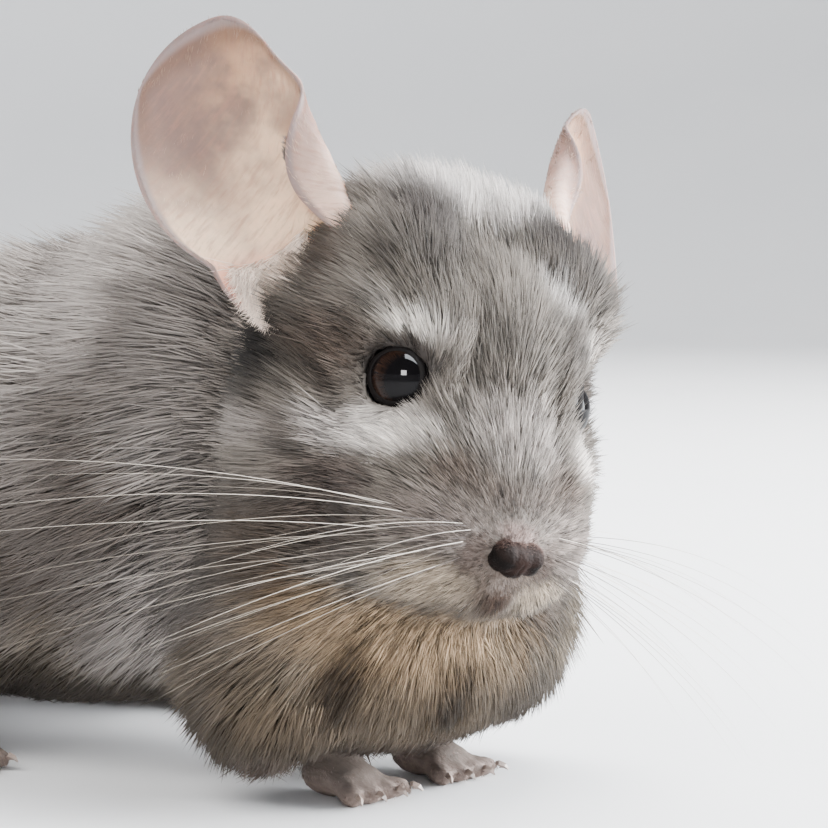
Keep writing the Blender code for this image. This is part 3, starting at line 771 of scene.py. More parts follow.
# the OFBake map: a small patch for each tuft, round the place of its root
def unwrapTufts(mesh, flat, along):
    patch = coatSettings["patch"]
    shiftU = np.concatenate([[0], np.tile([-0.5, 0, 0.5], (len(along) - 2) // 3), [0]]) * patch
    shiftV = (along - 0.5) * patch
    flat = np.clip(flat, patch, 1 - patch)
    spread = np.stack([flat[:, :1] + shiftU[None], flat[:, 1:] + shiftV[None]], 2).reshape(-1, 2)
    index = readRows(mesh.loops, "vertex_index", 1, np.int32)[:, 0]
    layer = mesh.uv_layers.new(name="OFBake")
    layer.data.foreach_set("uv", spread[index].astype(np.float32).ravel())


# one closed blade of three sides for each root, bent down along the coat's lie
def growTufts(name, spots, look, material):
    blade = coatSettings["blade"]
    count = len(spots["at"])
    up = spots["up"]
    lie = spots["lie"] + look["stray"] * rng.normal(size=(count, 3))
    lie = unit(lie - (lie * up).sum(1)[:, None] * up)
    length = spots["length"] * mm * (1 + look["uneven"] * rng.uniform(-1, 1, count))
    width = spots["width"] * mm * (1 + blade["uneven"] * rng.uniform(-1, 1, count))
    lift = np.clip(spots["lift"] * (1 + blade["uneven"] * rng.normal(size=count)), 0.05, 1.4)
    twist = rng.normal(scale=blade["twist"], size=count)[:, None]
    across = np.cross(up, lie)
    side = across * np.cos(twist) + up * np.sin(twist)
    ridge = up * np.cos(twist) - across * np.sin(twist)
    shares = np.array([0.0] + [share for share, full in look["levels"]] + [1.0])
    fullness = np.array([full for share, full in look["levels"]])
    rise = lift[:, None] * (blade["rise"] - blade["droop"] * shares[None])
    mean = (lift[:, None] * blade["rise"] + rise) / 2
    middle = (spots["at"][:, None] - up[:, None] * look["sink"] * mm
              + (length[:, None] * shares[None] * np.cos(mean))[:, :, None] * lie[:, None]
              + (length[:, None] * shares[None] * np.sin(mean))[:, :, None] * up[:, None])
    leader = leadersOf(spots["at"], look["perClump"])
    pull = middle[leader, -1] - middle[:, -1]
    hold = look["clump"] * np.clip(length / np.maximum(lengths(pull), 1e-9), 0, 1)
    middle += pull[:, None] * (hold[:, None] * shares[None] ** blade["gather"])[:, :, None]
    tone = mixed(look["share"], spots["tone"], spots["tone"][leader])
    half = width[:, None, None] / 2 * fullness[None, :, None]
    left = middle[:, 1:-1] - side[:, None] * half
    right = middle[:, 1:-1] + side[:, None] * half
    crest = middle[:, 1:-1] + ridge[:, None] * half * blade["crest"]
    rings = len(fullness)
    rows = np.concatenate([middle[:, :1], np.stack([left, crest, right], 2).reshape(count, rings * 3, 3),
                           middle[:, -1:]], 1)
    verts = rows.reshape(-1, 3)
    verts[:, 2] = np.maximum(verts[:, 2], coatSettings["aboveFloor"] * mm)
    tip, size = rings * 3 + 1, rings * 3 + 2
    base = (np.arange(count) * size)[:, None, None]
    quads = [(low + j, low + 3 + j, low + 3 + (j + 1) % 3, low + (j + 1) % 3)
             for low in range(1, rings * 3 - 2, 3) for j in range(3)]
    ends = [(tip - 3 + j, tip, tip - 3 + (j + 1) % 3) for j in range(3)]
    ends += [(0, 1 + j, 1 + (j + 1) % 3) for j in range(3)]
    faces = [(base + np.array(ends)[None]).reshape(-1, 3)]
    if quads:
        faces.append((base + np.array(quads)[None]).reshape(-1, 4))
    mesh = arrayMesh(name, verts, faces)
    along = np.concatenate([[0.0], np.repeat(shares[1:-1], 3), [1.0]])
    setAttribute(mesh, "along", np.tile(along, count))
    setAttribute(mesh, "tone", np.repeat(tone, size))
    setAttribute(mesh, "pelt", np.repeat(spots["pelt"], size, 0))
    unwrapTufts(mesh, spots["unwrap"], along)
    obj = addObject(name, mesh, material)
    print(name, count, "tufts,", sum(len(group) * (group.shape[1] - 2) for group in faces), "triangles")
    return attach(obj, "root")


def unwrapHead(head):
    away = head - np.array([0, 8, -2])
    distance = np.maximum(lengths(away), 1e-6)
    return np.stack([0.5 + np.arctan2(away[:, 0], -away[:, 1]) / math.tau,
                     0.5 + np.arcsin(away[:, 2] / distance) / math.pi], 1)


def unwrapBody(body):
    across, back, height = body.T
    return np.stack([0.5 + np.arctan2(across, height - 44) / math.tau, (back + 40) / 260], 1)


# the four feet side by side
def unwrapLegs(body):
    across, back, height = body.T
    hind = back > 60
    sideways = np.abs(across) - np.where(hind, 40, 14)
    turn = 0.5 + np.arctan2(sideways, back - np.where(hind, 110, 22)) / math.tau
    return np.stack([((across > 0) * 1 + hind * 2 + turn) / 4, height / 45], 1)


coatSettings = {
    "patch": 0.003, "aboveFloor": 0.15, "clearOfEye": 4.4, "pieces": 4,
    "clearOfNose": {"back": 1.4, "radii": (4.0, 3.7, 2.35)},
    "headTufts": 112000, "bodyTufts": 84000, "footTufts": 14000, "tailTufts": 8500, "padTufts": 3600,
    "face": {"nose": 1.3, "muzzle": 3.4, "cheek": 3, "nape": 8, "eyelid": 0.42, "innerEye": 2.4,
             "innerLift": 2.1, "fine": 0.16, "towardsCheek": 0.07, "towardsNape": 0.12},
    "trunk": {"belly": 7.5, "back": 10, "chest": 0.8, "width": 0.4},
    "paw": {"length": 1.2, "towardsLeg": 3.2, "width": 0.13, "lift": 0.1},
    "brush": {"length": (12, 30), "lift": (30, 17), "width": 0.7, "spread": 0.85},
    "blade": {"uneven": 0.25, "twist": 0.45, "rise": 1.45, "droop": 0.9, "gather": 1.6, "crest": 0.7},
    "short": {"levels": [(0.4, 1.0)], "sink": 0.3, "stray": 0.12, "uneven": 0.25,
              "perClump": 12, "clump": 0.26, "share": 0.55},
    "long": {"levels": [(0.45, 1.0)], "sink": 0.8, "stray": 0.16, "uneven": 0.28,
             "perClump": 16, "clump": 0.34, "share": 0.6},
    "foot": {"levels": [(0.4, 1.0)], "sink": 0.15, "stray": 0.12, "uneven": 0.2,
             "perClump": 6, "clump": 0.2, "share": 0.3},
    "tail": {"levels": [(0.3, 1.0), (0.68, 0.75)], "sink": 0.5, "stray": 0.1, "uneven": 0.16,
             "perClump": 10, "clump": 0.45, "share": 0.5},
}


# 1 where a root is clear of both eyes and the nose, else 0
def eyeOpening(points):
    head = toHead(points)
    clear = np.ones(len(points))
    for side in sides:
        away = head - eyeCentre(side)
        forward = away @ eyeAxes[side]
        beside = lengths(away - forward[:, None] * eyeAxes[side])
        clear[(beside < coatSettings["clearOfEye"]) & (forward > 0) & (forward < 12)] = 0
    bare = coatSettings["clearOfNose"]
    nose = head - regions["noseAt"] - noseSettings["shift"] - np.array([0, bare["back"], 0])
    clear[lengths(nose / np.array(bare["radii"])) < 1] = 0
    return clear


# the roots of a coat, with the length, width, lift, lie, tone and colour of each tuft
def coatSpots(mesh, count, weigh):
    face, trunk = coatSettings["face"], coatSettings["trunk"]
    at, up = scatter(mesh, count, weigh)
    head, body = toHead(at), toBody(at)
    onHead = headness(head)
    muzzle = noseDistance(head)
    eye = ease(eyeDistance(head), 6.5, 13)
    faceLength = face["nose"] + face["muzzle"] * ease(muzzle, 5, 15)
    faceLength += face["cheek"] * ease(muzzle, 15, 42) + face["nape"] * ease(head[:, 1], 6, 28)
    faceLength *= mixed(eye, face["eyelid"], 1)
    inner = np.exp(-((np.abs(head[:, 0]) - 10.6) / 2.6) ** 2 - (head[:, 2] / 8) ** 2) * (head[:, 1] < 2)
    faceLength += face["innerEye"] * inner
    trunkLength = trunk["belly"] + trunk["back"] * ease(body[:, 2], 12, 46)
    trunkLength *= mixed(ease(body[:, 1], 22, 0), 1, trunk["chest"])
    length = mixed(onHead, trunkLength, faceLength)
    faceWidth = face["fine"] + face["towardsCheek"] * ease(muzzle, 6, 26)
    faceWidth += face["towardsNape"] * ease(head[:, 1], 5, 30)
    width = mixed(onHead, trunk["width"], faceWidth)
    lift = np.arcsin(np.clip((0.85 * coatDepth(at) + face["innerLift"] * inner) / length, 0.1, 0.8))
    own = rng.random(len(at))
    soft = 0.82 + 0.36 * own
    guard = own < mixed(ease(muzzle, 26, 40), 0.2, 0.12)
    ticked = np.where(guard, 0.3 + 1.6 * own, 0.88 + 0.26 * own)
    length = length * np.where(guard, 1.15, 1.0)
    # streaks of darker and lighter hairs radiating from the nose, partly random tone and partly painted
    # shadow between clumps
    fromNose = head - regions["noseAt"] - np.array([0, 8, 0])
    rays = unit(fromNose)
    streak = wave(rays * 54 + 0.25 * fromNose, 3.4, 21) + 0.5 * wave(rays * 30, 1.5, 22)
    locks = wave(rays * 30 + 0.3 * fromNose, 2.6, 23)
    strands = np.where(muzzle < 30, streak, 0.5 * streak + 0.8 * locks)
    strong = mixed(ease(muzzle, 24, 46), 0.46, 0.36)
    lieFront = ease(body[:, 1], 30, 5)[:, None]
    flow = unit(mixed(lieFront, np.array([[0, 0.95, -0.3]]), np.array([[0, 0.15, -1.0]])))
    drawn = body - 0.72 * (body * flow).sum(1)[:, None] * flow
    tufty = 1 + 0.3 * np.clip(wave(drawn, 3.6, 24), -1, 1)
    tone = mixed(onHead, soft * tufty, ticked * (1 + strong * np.clip(strands, -1.2, 1)))
    lie = layOf(at)
    flat = unit(lie - (lie * up).sum(1)[:, None] * up)
    seen = at + flat * (0.55 * length * mm)[:, None]
    return {"at": at, "up": up, "lie": lie, "length": length, "width": width, "lift": lift,
            "tone": tone, "pelt": pelt(seen)}


def growPieces(name, spots, places, look, material):
    order = np.argsort(places)
    for number, chosen in enumerate(np.array_split(order, coatSettings["pieces"]), 1):
        piece = {key: values[chosen] for key, values in spots.items()}
        growTufts(f"{name}{number}", piece, look, material)


def growCoat(mesh):
    furShort = furMaterial("furShort", 0.55, 0.4)
    furLong = furMaterial("furLong", 0.72, 0.2)
    furTail = furMaterial("furTail", 0.55, 0.35)

    def headWeight(middle, facing):
        head = toHead(middle)
        fine = 1 + 2.2 * ease(noseDistance(head), 16, 7)
        return ease(headness(head), 0.15, 0.6) * eyeOpening(middle) * (toBody(middle)[:, 2] > 12) * fine

    def bodyWeight(middle, facing):
        body = toBody(middle)
        trunk = (1 - ease(headness(toHead(middle)), 0.4, 0.95)) * (body[:, 2] > 8) * (body[:, 1] < 181)
        return trunk * (1 + 1.5 * ease(body[:, 1], 75, 20)) * (0.6 + 0.4 * ease(body[:, 2], 5, 20))

    def footWeight(middle, facing):
        body = toBody(middle)
        return (body[:, 2] < 13) * (body[:, 2] > 1.2) * (facing[:, 2] > -0.35) * (body[:, 1] < 160)

    # the head's coat in pieces from side to side and the body's from front to back
    spots = coatSpots(mesh, coatSettings["headTufts"], headWeight)
    spots["unwrap"] = unwrapHead(toHead(spots["at"]))
    growPieces("furHead", spots, toHead(spots["at"])[:, 0], coatSettings["short"], furShort)
    spots = coatSpots(mesh, coatSettings["bodyTufts"], bodyWeight)
    spots["unwrap"] = unwrapBody(toBody(spots["at"]))
    growPieces("furBody", spots, toBody(spots["at"])[:, 1], coatSettings["long"], furLong)
    spots = coatSpots(mesh, coatSettings["footTufts"], footWeight)
    body, paw = toBody(spots["at"]), coatSettings["paw"]
    spots["unwrap"] = unwrapLegs(body)
    spots["length"] = paw["length"] + paw["towardsLeg"] * ease(body[:, 2], 5, 12)
    spots["width"] = np.full(len(body), paw["width"])
    spots["lift"] = np.full(len(body), paw["lift"])
    spots["tone"] = 0.84 + 0.3 * rng.random(len(body))
    growTufts("furFeet", spots, coatSettings["foot"], furShort)
    growTufts("furTail", tailSpots(), coatSettings["tail"], furTail)


# long hairs all round the tail's flesh, fuller towards its end
def tailSpots():
    count, brush = coatSettings["tailTufts"], coatSettings["brush"]
    share = rng.random(count) ** brush["spread"] * regions["tailShare"]
    place, along = route(share)
    side = unit(np.cross(along, [0, 0, 1]))
    upward = np.cross(side, along)
    angle = rng.uniform(0, math.tau, count)
    outward = side * np.cos(angle)[:, None] + upward * np.sin(angle)[:, None]
    radius = mixed(share, skinSettings["tailStart"], skinSettings["tailEnd"])
    at = (place + outward * radius[:, None]) * mm + np.array(bodyAt)
    length = mixed(ease(share, 0.02, 0.3), *brush["length"]) * mixed(share, 1.0, 1.05)
    lift = np.radians(mixed(share, *brush["lift"]))
    tone = 0.8 + 0.35 * rng.random(count)
    pale = ease(np.abs(np.cos(angle)), 0.55, 1)
    colour = tinted(0.55 * pale, coatColours["tail"], paint(196, 186, 176))
    return {"at": at, "up": outward, "lie": along, "lift": lift, "tone": tone, "pelt": colour,
            "length": length, "width": np.full(count, brush["width"]),
            "unwrap": np.stack([angle / math.tau, share], 1)}


# the ears, the same leaf as the frame's on a finer grid

earSettings = {
    "root": {"L": (23, 25, 19), "R": (24.8, 24.5, 15)}, "tip": (37.5, 48, 51.2), "facing": 31,
    "outer": 22.5, "inner": 9.5, "flap": 11.5, "below": {"L": 9, "R": 12}, "lobe": {"L": -9, "R": 1.5},
    "corner": 0.075, "dish": 4, "cup": (0.026, 0.05), "columns": 44, "rows": 48, "thick": 0.95, "rim": 0.45,
    "fold": {"strength": 2.5, "top": 38, "from": 11.5, "lean": 0.14, "wide": 4.5},
    "creases": {"fine": 0.12, "slanting": 0.7, "crossing": 0.35}, "bendSteps": 16, "step": 0.02,
}


# how far the leaf is turned forwards, in radians, most in the fold of its front edge
def earBend(across, along):
    fold = earSettings["fold"]
    least, more = earSettings["cup"]
    cup = least + more * np.exp(-np.maximum(along, 0) / 10)
    strength = fold["strength"] * ease(fold["top"] - along, 0, 24)
    starts = fold["from"] - fold["lean"] * along
    return cup * across + strength * ease(across - starts, 0, fold["wide"])


# places in the middle of the ear's thickness, for u and v from -1 to 1
def earSheet(side, u, v):
    way = sides[side]
    root, tip = (onSide(way, place) for place in (earSettings["root"][side], earSettings["tip"]))
    below = earSettings["below"][side]
    along = unit(tip - root)
    facing = math.radians(earSettings["facing"])
    face = np.array([math.sin(facing) * way, -math.cos(facing), 0])
    face = unit(face - along * (face @ along))
    front = np.cross(along, face)
    front = front * (-way if front[0] > 0 else way)
    length = np.linalg.norm(tip - root) + below
    x, y = u * np.sqrt(1 - v * v / 2), v * np.sqrt(1 - u * u / 2)
    fuller = 1 + earSettings["corner"] * np.clip(2 * x * y, 0, 1) ** 2 * (x > 0)
    x, y = x * fuller, y * fuller
    place = length * (y + 1) / 2 - below
    flap = earSettings["flap"] * ease(earSettings["fold"]["top"] - place, 0, 30)
    lobe = earSettings["lobe"][side] * ease(14 - place, 0, 20)
    span = x * np.where(x < 0, earSettings["outer"] + lobe, earSettings["inner"] + flap)
    steps = earSettings["bendSteps"]
    bends = np.stack([earBend(span * (k + 0.5) / steps, place) for k in range(steps)])
    sideways = np.cos(bends).mean(0) * span
    forward = np.sin(bends).mean(0) * span + earSettings["dish"] * y * y
    return root + along * place[..., None] + front * sideways[..., None] + face * forward[..., None], y


def makeEar(side, material):
    columns, rows = earSettings["columns"], earSettings["rows"]
    u, v = np.meshgrid(np.linspace(-1, 1, columns + 1), np.linspace(-1, 1, rows + 1))
    sheet, height = earSheet(side, u, v)
    step = earSettings["step"]
    right = earSheet(side, np.clip(u + step, -1, 1), v)[0] - earSheet(side, np.clip(u - step, -1, 1), v)[0]
    upward = earSheet(side, u, np.clip(v + step, -1, 1))[0] - earSheet(side, u, np.clip(v - step, -1, 1))[0]
    normal = unit(np.cross(right, upward))
    toFront = normal[rows // 2, columns // 2] @ np.array([0, -1, 0])
    normal = normal if toFront > 0 else -normal
    edge = np.maximum(np.abs(u), np.abs(v))
    half = mixed(edge ** 5, earSettings["thick"], earSettings["rim"])[..., None] / 2
    creases = earSettings["creases"]
    wrinkle = creases["fine"] * np.sin(v * 26 + u * 9 + 1.5 * np.sin(u * 5)) * (1 - edge ** 2)
    folds = ease(-v, 0.3, 0.6) * ease(u, -0.5, 0) * (1 - edge ** 4)
    wrinkle += creases["slanting"] * folds * np.sin(9 * u + 5 * v)
    wrinkle += creases["crossing"] * folds * np.sin(17 * v - 8 * u)
    sheet = sheet + normal * wrinkle[..., None]
    points = np.concatenate([sheet + normal * half, sheet - normal * half]).reshape(-1, 3)
    wide = columns + 1
    count = wide * (rows + 1)
    index = np.arange(count).reshape(rows + 1, wide)
    quads = np.stack([index[:-1, :-1], index[:-1, 1:], index[1:, 1:], index[1:, :-1]], 2).reshape(-1, 4)
    border = np.concatenate([index[0, :-1], index[:-1, -1], index[-1, :0:-1], index[:0:-1, 0]])
    after = np.roll(border, -1)
    wall = np.stack([border, border + count, after + count, after], 1)
    faces = np.concatenate([quads, quads[:, ::-1] + count, wall])
    mesh = facedOutwards("ear_" + side + "_leaf", fromHead(points), [faces])
    setAttribute(mesh, "across", np.tile(u.ravel(), 2))
    setAttribute(mesh, "up", np.tile((height.ravel() + 1) / 2, 2))
    setAttribute(mesh, "front", np.repeat([1.0, 0.0], count))
    setAttribute(mesh, "edge", np.tile(edge.ravel(), 2))
    obj = addObject(mesh.name, mesh, material)
    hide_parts("ear_" + side)
    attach(obj, "root")
    print(mesh.name, len(mesh.polygons), "faces")
    return {"sheet": sheet, "normal": normal}


earFurSettings = {
    "rim": {"count": 2600, "length": 1.2, "width": 0.12, "lift": 0.3, "inset": 0.3, "tone": (0.75, 1.25)},
    "back": {"count": 2800, "length": 1.5, "width": 0.15, "lift": 0.14, "above": 0.4,
             "tone": (0.8, 1.15), "u": (-0.97, 0.97), "v": (-0.9, 0.97)},
    "down": {"count": 1500, "length": 1.6, "width": 0.06, "lift": 0.1, "above": 0.35,
             "tone": (0.8, 1.1), "u": (-0.9, 0.97), "v": (-0.6, 0.9)},
    "base": {"count": 2600, "length": (4, 8), "width": 0.16, "lift": 0.22, "above": 0.4,
             "tone": (0.74, 1.2), "u": (-0.6, 0.2), "v": (-0.98, -0.5)},
    "look": {"levels": [(0.4, 1.0)], "sink": 0.05, "stray": 0.2, "uneven": 0.3,
             "perClump": 6, "clump": 0.25, "share": 0.4},
}


# velvet on the back and rim, down inside, and the pale tuft at the base
def growEarFur(side, ear, material):
    parts = []

    def pick(u, v, toFront):
        place = earSheet(side, u, v)[0]
        step = earSettings["step"]
        right = earSheet(side, u + step, v)[0] - earSheet(side, u - step, v)[0]
        upward = earSheet(side, u, np.minimum(v + step, 1))[0] - earSheet(side, u, v - step)[0]
        normal = unit(np.cross(right, upward))
        sign = np.sign((ear["normal"].mean((0, 1)) * normal).sum(1))[:, None]
        outward = normal * np.where(sign == 0, 1, sign) * toFront
        return place, outward, unit(upward), unit(right)

    def spread(kind):
        return (rng.uniform(*kind[key], kind["count"]) for key in ("u", "v"))

    def add(kind, u, v, place, outward, lie, length, colour):
        count = kind["count"]
        parts.append({"at": fromHead(place), "up": outward @ headAxes.T, "lie": lie @ headAxes.T,
                      "length": np.broadcast_to(length, count) * 1.0, "lift": np.full(count, kind["lift"]),
                      "width": np.full(count, kind["width"]), "tone": rng.uniform(*kind["tone"], count),
                      "pelt": np.broadcast_to(colour, (count, 3)) * 1.0,
                      "unwrap": np.stack([0.25 + 0.24 * u, 0.5 + 0.49 * v], 1)})

    rim, back, down, base = (earFurSettings[key] for key in ("rim", "back", "down", "base"))
    turn = rng.uniform(0, math.tau, rim["count"])
    u, v = np.cos(turn), np.sin(turn)
    scale = 0.985 / np.maximum(np.abs(u), np.abs(v))
    u, v = u * scale, v * scale
    place, outward, upward, right = pick(u, v, 1)
    middle = ear["sheet"][earSettings["rows"] // 2, earSettings["columns"] // 2]
    away = unit(place - middle)
    along = unit(np.cross(away, outward)) * np.sign((np.cross(away, outward) * upward).sum(1))[:, None]
    leaning = unit(away + 0.5 * outward * rng.choice([-1, 1], rim["count"])[:, None])
    add(rim, u, v, place - away * rim["inset"], leaning, along, rim["length"], paint(122, 110, 106))
    u, v = spread(back)
    place, outward, upward, right = pick(u, v, -1)
    flapHue = tinted(ease(v, -0.4, 0.2), paint(212, 184, 169), paint(128, 105, 97))
    hue = tinted(ease(u, 0.3, 0.6), paint(132, 121, 116), flapHue)
    add(back, u, v, place + outward * back["above"], outward, upward, back["length"], hue)
    u, v = spread(down)
    place, outward, upward, right = pick(u, v, 1)
    hue = tinted(ease(v, -0.3, 0.6), paint(216, 190, 168), paint(146, 116, 98))
    add(down, u, v, place + outward * down["above"], outward, upward + 0.5 * right, down["length"], hue)
    u, v = spread(base)
    v = np.clip(v + 0.25 * (u + 0.2), -0.98, 0)
    place, outward, upward, right = pick(u, v, 1)
    lie = unit(-right * 0.7 - upward * 0.7) + 0.22 * rng.normal(size=(base["count"], 3))
    length = rng.uniform(*base["length"], base["count"]) * mixed(ease(v, -0.8, -0.98), 1, 0.6)
    add(base, u, v, place + outward * base["above"], outward, lie, length, paint(250, 230, 214))
    spots = {key: np.concatenate([part[key] for part in parts]) for key in parts[0]}
    growTufts("furEar_" + side, spots, earFurSettings["look"], material)


# eyes, lids, nose, whiskers and claws

eyeSettings = {
    "segments": 72, "rings": 44, "gaze": 20, "tilt": 0.02, "bulge": 0.02,
    "wide": 45, "high": 44, "columns": 84, "crease": 0.012,
    # the inner and the outer corner: place round the rim, width, and degrees further open
    "corners": [(-0.62, 0.3, 5), (3.05, 0.35, 1.5)],
    # degrees out from the opening's edge, and millimetres above the ball there
    "rim": [(-2.5, -0.25), (-0.6, 0.06), (0.4, 0.16), (2.0, 0.26), (4.6, 0.32), (8.4, 0.26), (13, 0),
            (18, -0.6)],
}


# a ball with its poles along the gaze, so that the iris is a ring round one of them
def makeEye(side, material):
    way = sides[side]
    gaze = math.radians(eyeSettings["gaze"])
    axis = np.array([way * math.sin(gaze), -math.cos(gaze), eyeSettings["tilt"]])
    turn = Vector(unit(axis)).to_track_quat("Z", "Y").to_matrix()
    work = bmesh.new()
    bmesh.ops.create_uvsphere(work, u_segments=eyeSettings["segments"], v_segments=eyeSettings["rings"],
                              radius=regions["eyeRadius"])
    mesh = asMesh(work, "eyeball_" + side)
    local = coordinates(mesh)
    polar = np.arccos(np.clip(local[:, 2] / regions["eyeRadius"], -1, 1))
    turned = np.arctan2(local[:, 1], local[:, 0])
    bulge = 1 + eyeSettings["bulge"] * np.exp(-(polar / 0.6) ** 2)
    moveTo(mesh, fromHead(local * bulge[:, None] @ np.array(turn).T + eyeCentre(side)))
    setAttribute(mesh, "polar", polar)
    setAttribute(mesh, "round", np.sin(turned) + 1.3 * np.cos(turned * 2))
    mesh.shade_smooth()
    obj = addObject(mesh.name, mesh, material)
    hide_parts("eye_" + side)
    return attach(obj, "root")


# the rim of skin round an eye, with a low corner towards the nose
def makeLids(side, material):
    axis = eyeAxes[side]
    level = unit(np.cross([0, 0, 1.0], axis))
    if (regions["noseAt"] - eyeCentre(side)) @ level < 0:
        level = -level
    upright = unit(np.cross(axis, level))
    if upright[2] < 0:
        upright = -upright
    columns = eyeSettings["columns"]
    turn = np.arange(columns) / columns * math.tau
    opening = mixed(np.cos(turn) ** 2, eyeSettings["high"], eyeSettings["wide"])
    for place, wide, degrees in eyeSettings["corners"]:
        opening = opening + degrees * np.exp(-(np.angle(np.exp(1j * (turn - place))) / wide) ** 2)
    around = np.cos(turn)[:, None] * level + np.sin(turn)[:, None] * upright
    rows = []
    for shift, above in eyeSettings["rim"]:
        size = regions["eyeRadius"] + above
        angle = np.radians(opening + shift)
        crease = 1 + eyeSettings["crease"] * np.sin(turn * 9 + shift) * (shift > 1)
        ring = np.cos(angle)[:, None] * axis + np.sin(angle)[:, None] * around
        rows.append(ring * (size * crease)[:, None])
    points = fromHead(np.concatenate(rows) + eyeCentre(side))
    first = np.arange(columns)
    last = first + (len(rows) - 1) * columns
    closing = np.stack([last, np.roll(last, -1), np.roll(first, -1), first], 1)
    faces = np.concatenate([ringFaces(len(rows), columns), closing])
    mesh = facedOutwards("lids_" + side, points, [faces])
    setAttribute(mesh, "along", np.repeat(np.linspace(1, 0, len(rows)), columns))
    obj = addObject(mesh.name, mesh, material)
    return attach(obj, "root")


noseSettings = {
    "shift": np.array([0.95, -0.1, 0.15]),
    "blobs": [((0, 2.2, 0.1), (4.0, 3.5, 2.6)), ((2.3, 2.0, 0.15), (2.45, 3.2, 2.65)),
              ((-2.3, 2.0, 0.15), (2.45, 3.2, 2.65)), ((0, 2.5, -1.5), (1.8, 2.7, 1.8))],
    "nostril": [(1.5, -0.9, -1.5), (2.3, -0.7, -1.5), (3.3, 0.0, -1.1), (4.2, 1.1, -0.4), (4.7, 2.1, 0.4)],
    "width": 0.8, "depth": 0.34, "cleft": 0.2, "pores": 0.02, "voxel": 0.17, "rounds": 7,
    "velvet": {"length": 0.55, "longer": 0.5, "width": 0.08, "lift": 0.4},
}


# the distance from each point to a bent line
def toCurve(points, knots):
    nearest = np.full(len(points), 1e9)
    for start, end in zip(knots[:-1], knots[1:]):
        span = end - start
        share = np.clip(((points - start) @ span) / (span @ span), 0, 1)
        nearest = np.minimum(nearest, lengths(points - start - share[:, None] * span))
    return nearest


# the bare pad, two lobes with a hooked nostril in each and a cleft between them
def makeNose(material):
    centre = regions["noseAt"] + noseSettings["shift"]
    whole = bmesh.new()
    for place, radii in noseSettings["blobs"]:
        ball = bmesh.ops.create_icosphere(whole, subdivisions=4, radius=1)["verts"]
        for vert in ball:
            vert.co = Vector((np.array(vert.co) * radii + place + centre) * mm)
    mesh = remeshed(asMesh(whole, "nosePad"), noseSettings["voxel"], noseSettings["rounds"])
    points = coordinates(mesh) / mm - centre
    up = normals(mesh)
    dent = np.zeros(len(points))
    for way in sides.values():
        away = toCurve(points, onSide(way, noseSettings["nostril"]))
        dent += noseSettings["depth"] * np.exp(-(away / noseSettings["width"]) ** 2)
    dent += noseSettings["cleft"] * np.exp(-(points[:, 0] / 0.38) ** 2) * ease(points[:, 2], 0.4, -1.3)
    dent += noseSettings["pores"] * wave(points, 1.1, 31)
    points -= up * dent[:, None]
    moveTo(mesh, fromHead(points + centre))
    # how dark the pad is painted in its dents and towards both ends, as painted shade in the nostrils
    ends = 0.45 * ease(np.abs(points[:, 0]), 0.9, 3)
    setAttribute(mesh, "hollowShade", np.clip(1.7 * dent + ends, 0, 1.4))
    mesh.shade_smooth()
    obj = addObject("nosePad", mesh, material)
    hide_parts("nose")
    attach(obj, "root")
    return mesh, centre


# velvet on the pad, finer than the coat
def growNoseFur(mesh, centre, material):
    def topWeight(middle, facing):
        place = toHead(middle) - centre
        edge = lengths(place[:, [0, 2]] / np.array([5, 2.9]))
        return (0.25 + 2.2 * ease(edge, 0.7, 1)) * (place[:, 1] < 3.4)

    at, up = scatter(mesh, coatSettings["padTufts"], topWeight)
    count = len(at)
    place = toHead(at) - centre
    pink = ease(place[:, 2] + 0.3 * rng.normal(size=count), 1.0, 2.6)
    colour = tinted(pink, paint(19, 14, 12), paint(88, 69, 63))
    velvet = noseSettings["velvet"]
    spots = {"at": at, "up": up, "lie": layOf(at), "pelt": colour, "unwrap": 0.5 + place[:, [0, 2]] * 0.08,
             "length": velvet["length"] + velvet["longer"] * pink, "width": np.full(count, velvet["width"]),
             "lift": np.full(count, velvet["lift"]), "tone": 0.85 + 0.3 * rng.random(count)}
    growTufts("furNose", spots, coatSettings["foot"], material)


whiskerSettings = {"rows": 3, "columns": 4, "length": 80, "radius": 0.068, "extra": 18, "sides": 5,
                   "steps": 14, "brow": 4, "browLength": 24, "taper": 0.93, "pale": {1: 0.2, -1: 0.35}}


# a whisker's line from its place in the rows of the pad
def whiskerPath(way, row, column, scale):
    start = np.array([9 + column, -18 + 2 * column, -20 - 2.6 * row])
    back = math.radians(-10 + 9 * column)
    rise = math.radians(-4 - 9 * row + 3 * column)
    out = np.array([math.cos(back) * math.cos(rise), math.sin(back) * math.cos(rise), math.sin(rise)])
    length = whiskerSettings["length"] * (0.76 + 0.08 * column - 0.05 * row) * scale
    sweep = np.array([0, 9, -15 + 3 * row]) * scale
    t = np.linspace(0, 1, whiskerSettings["steps"])[:, None]
    return onSide(way, start + out * length * t + sweep * t * t)


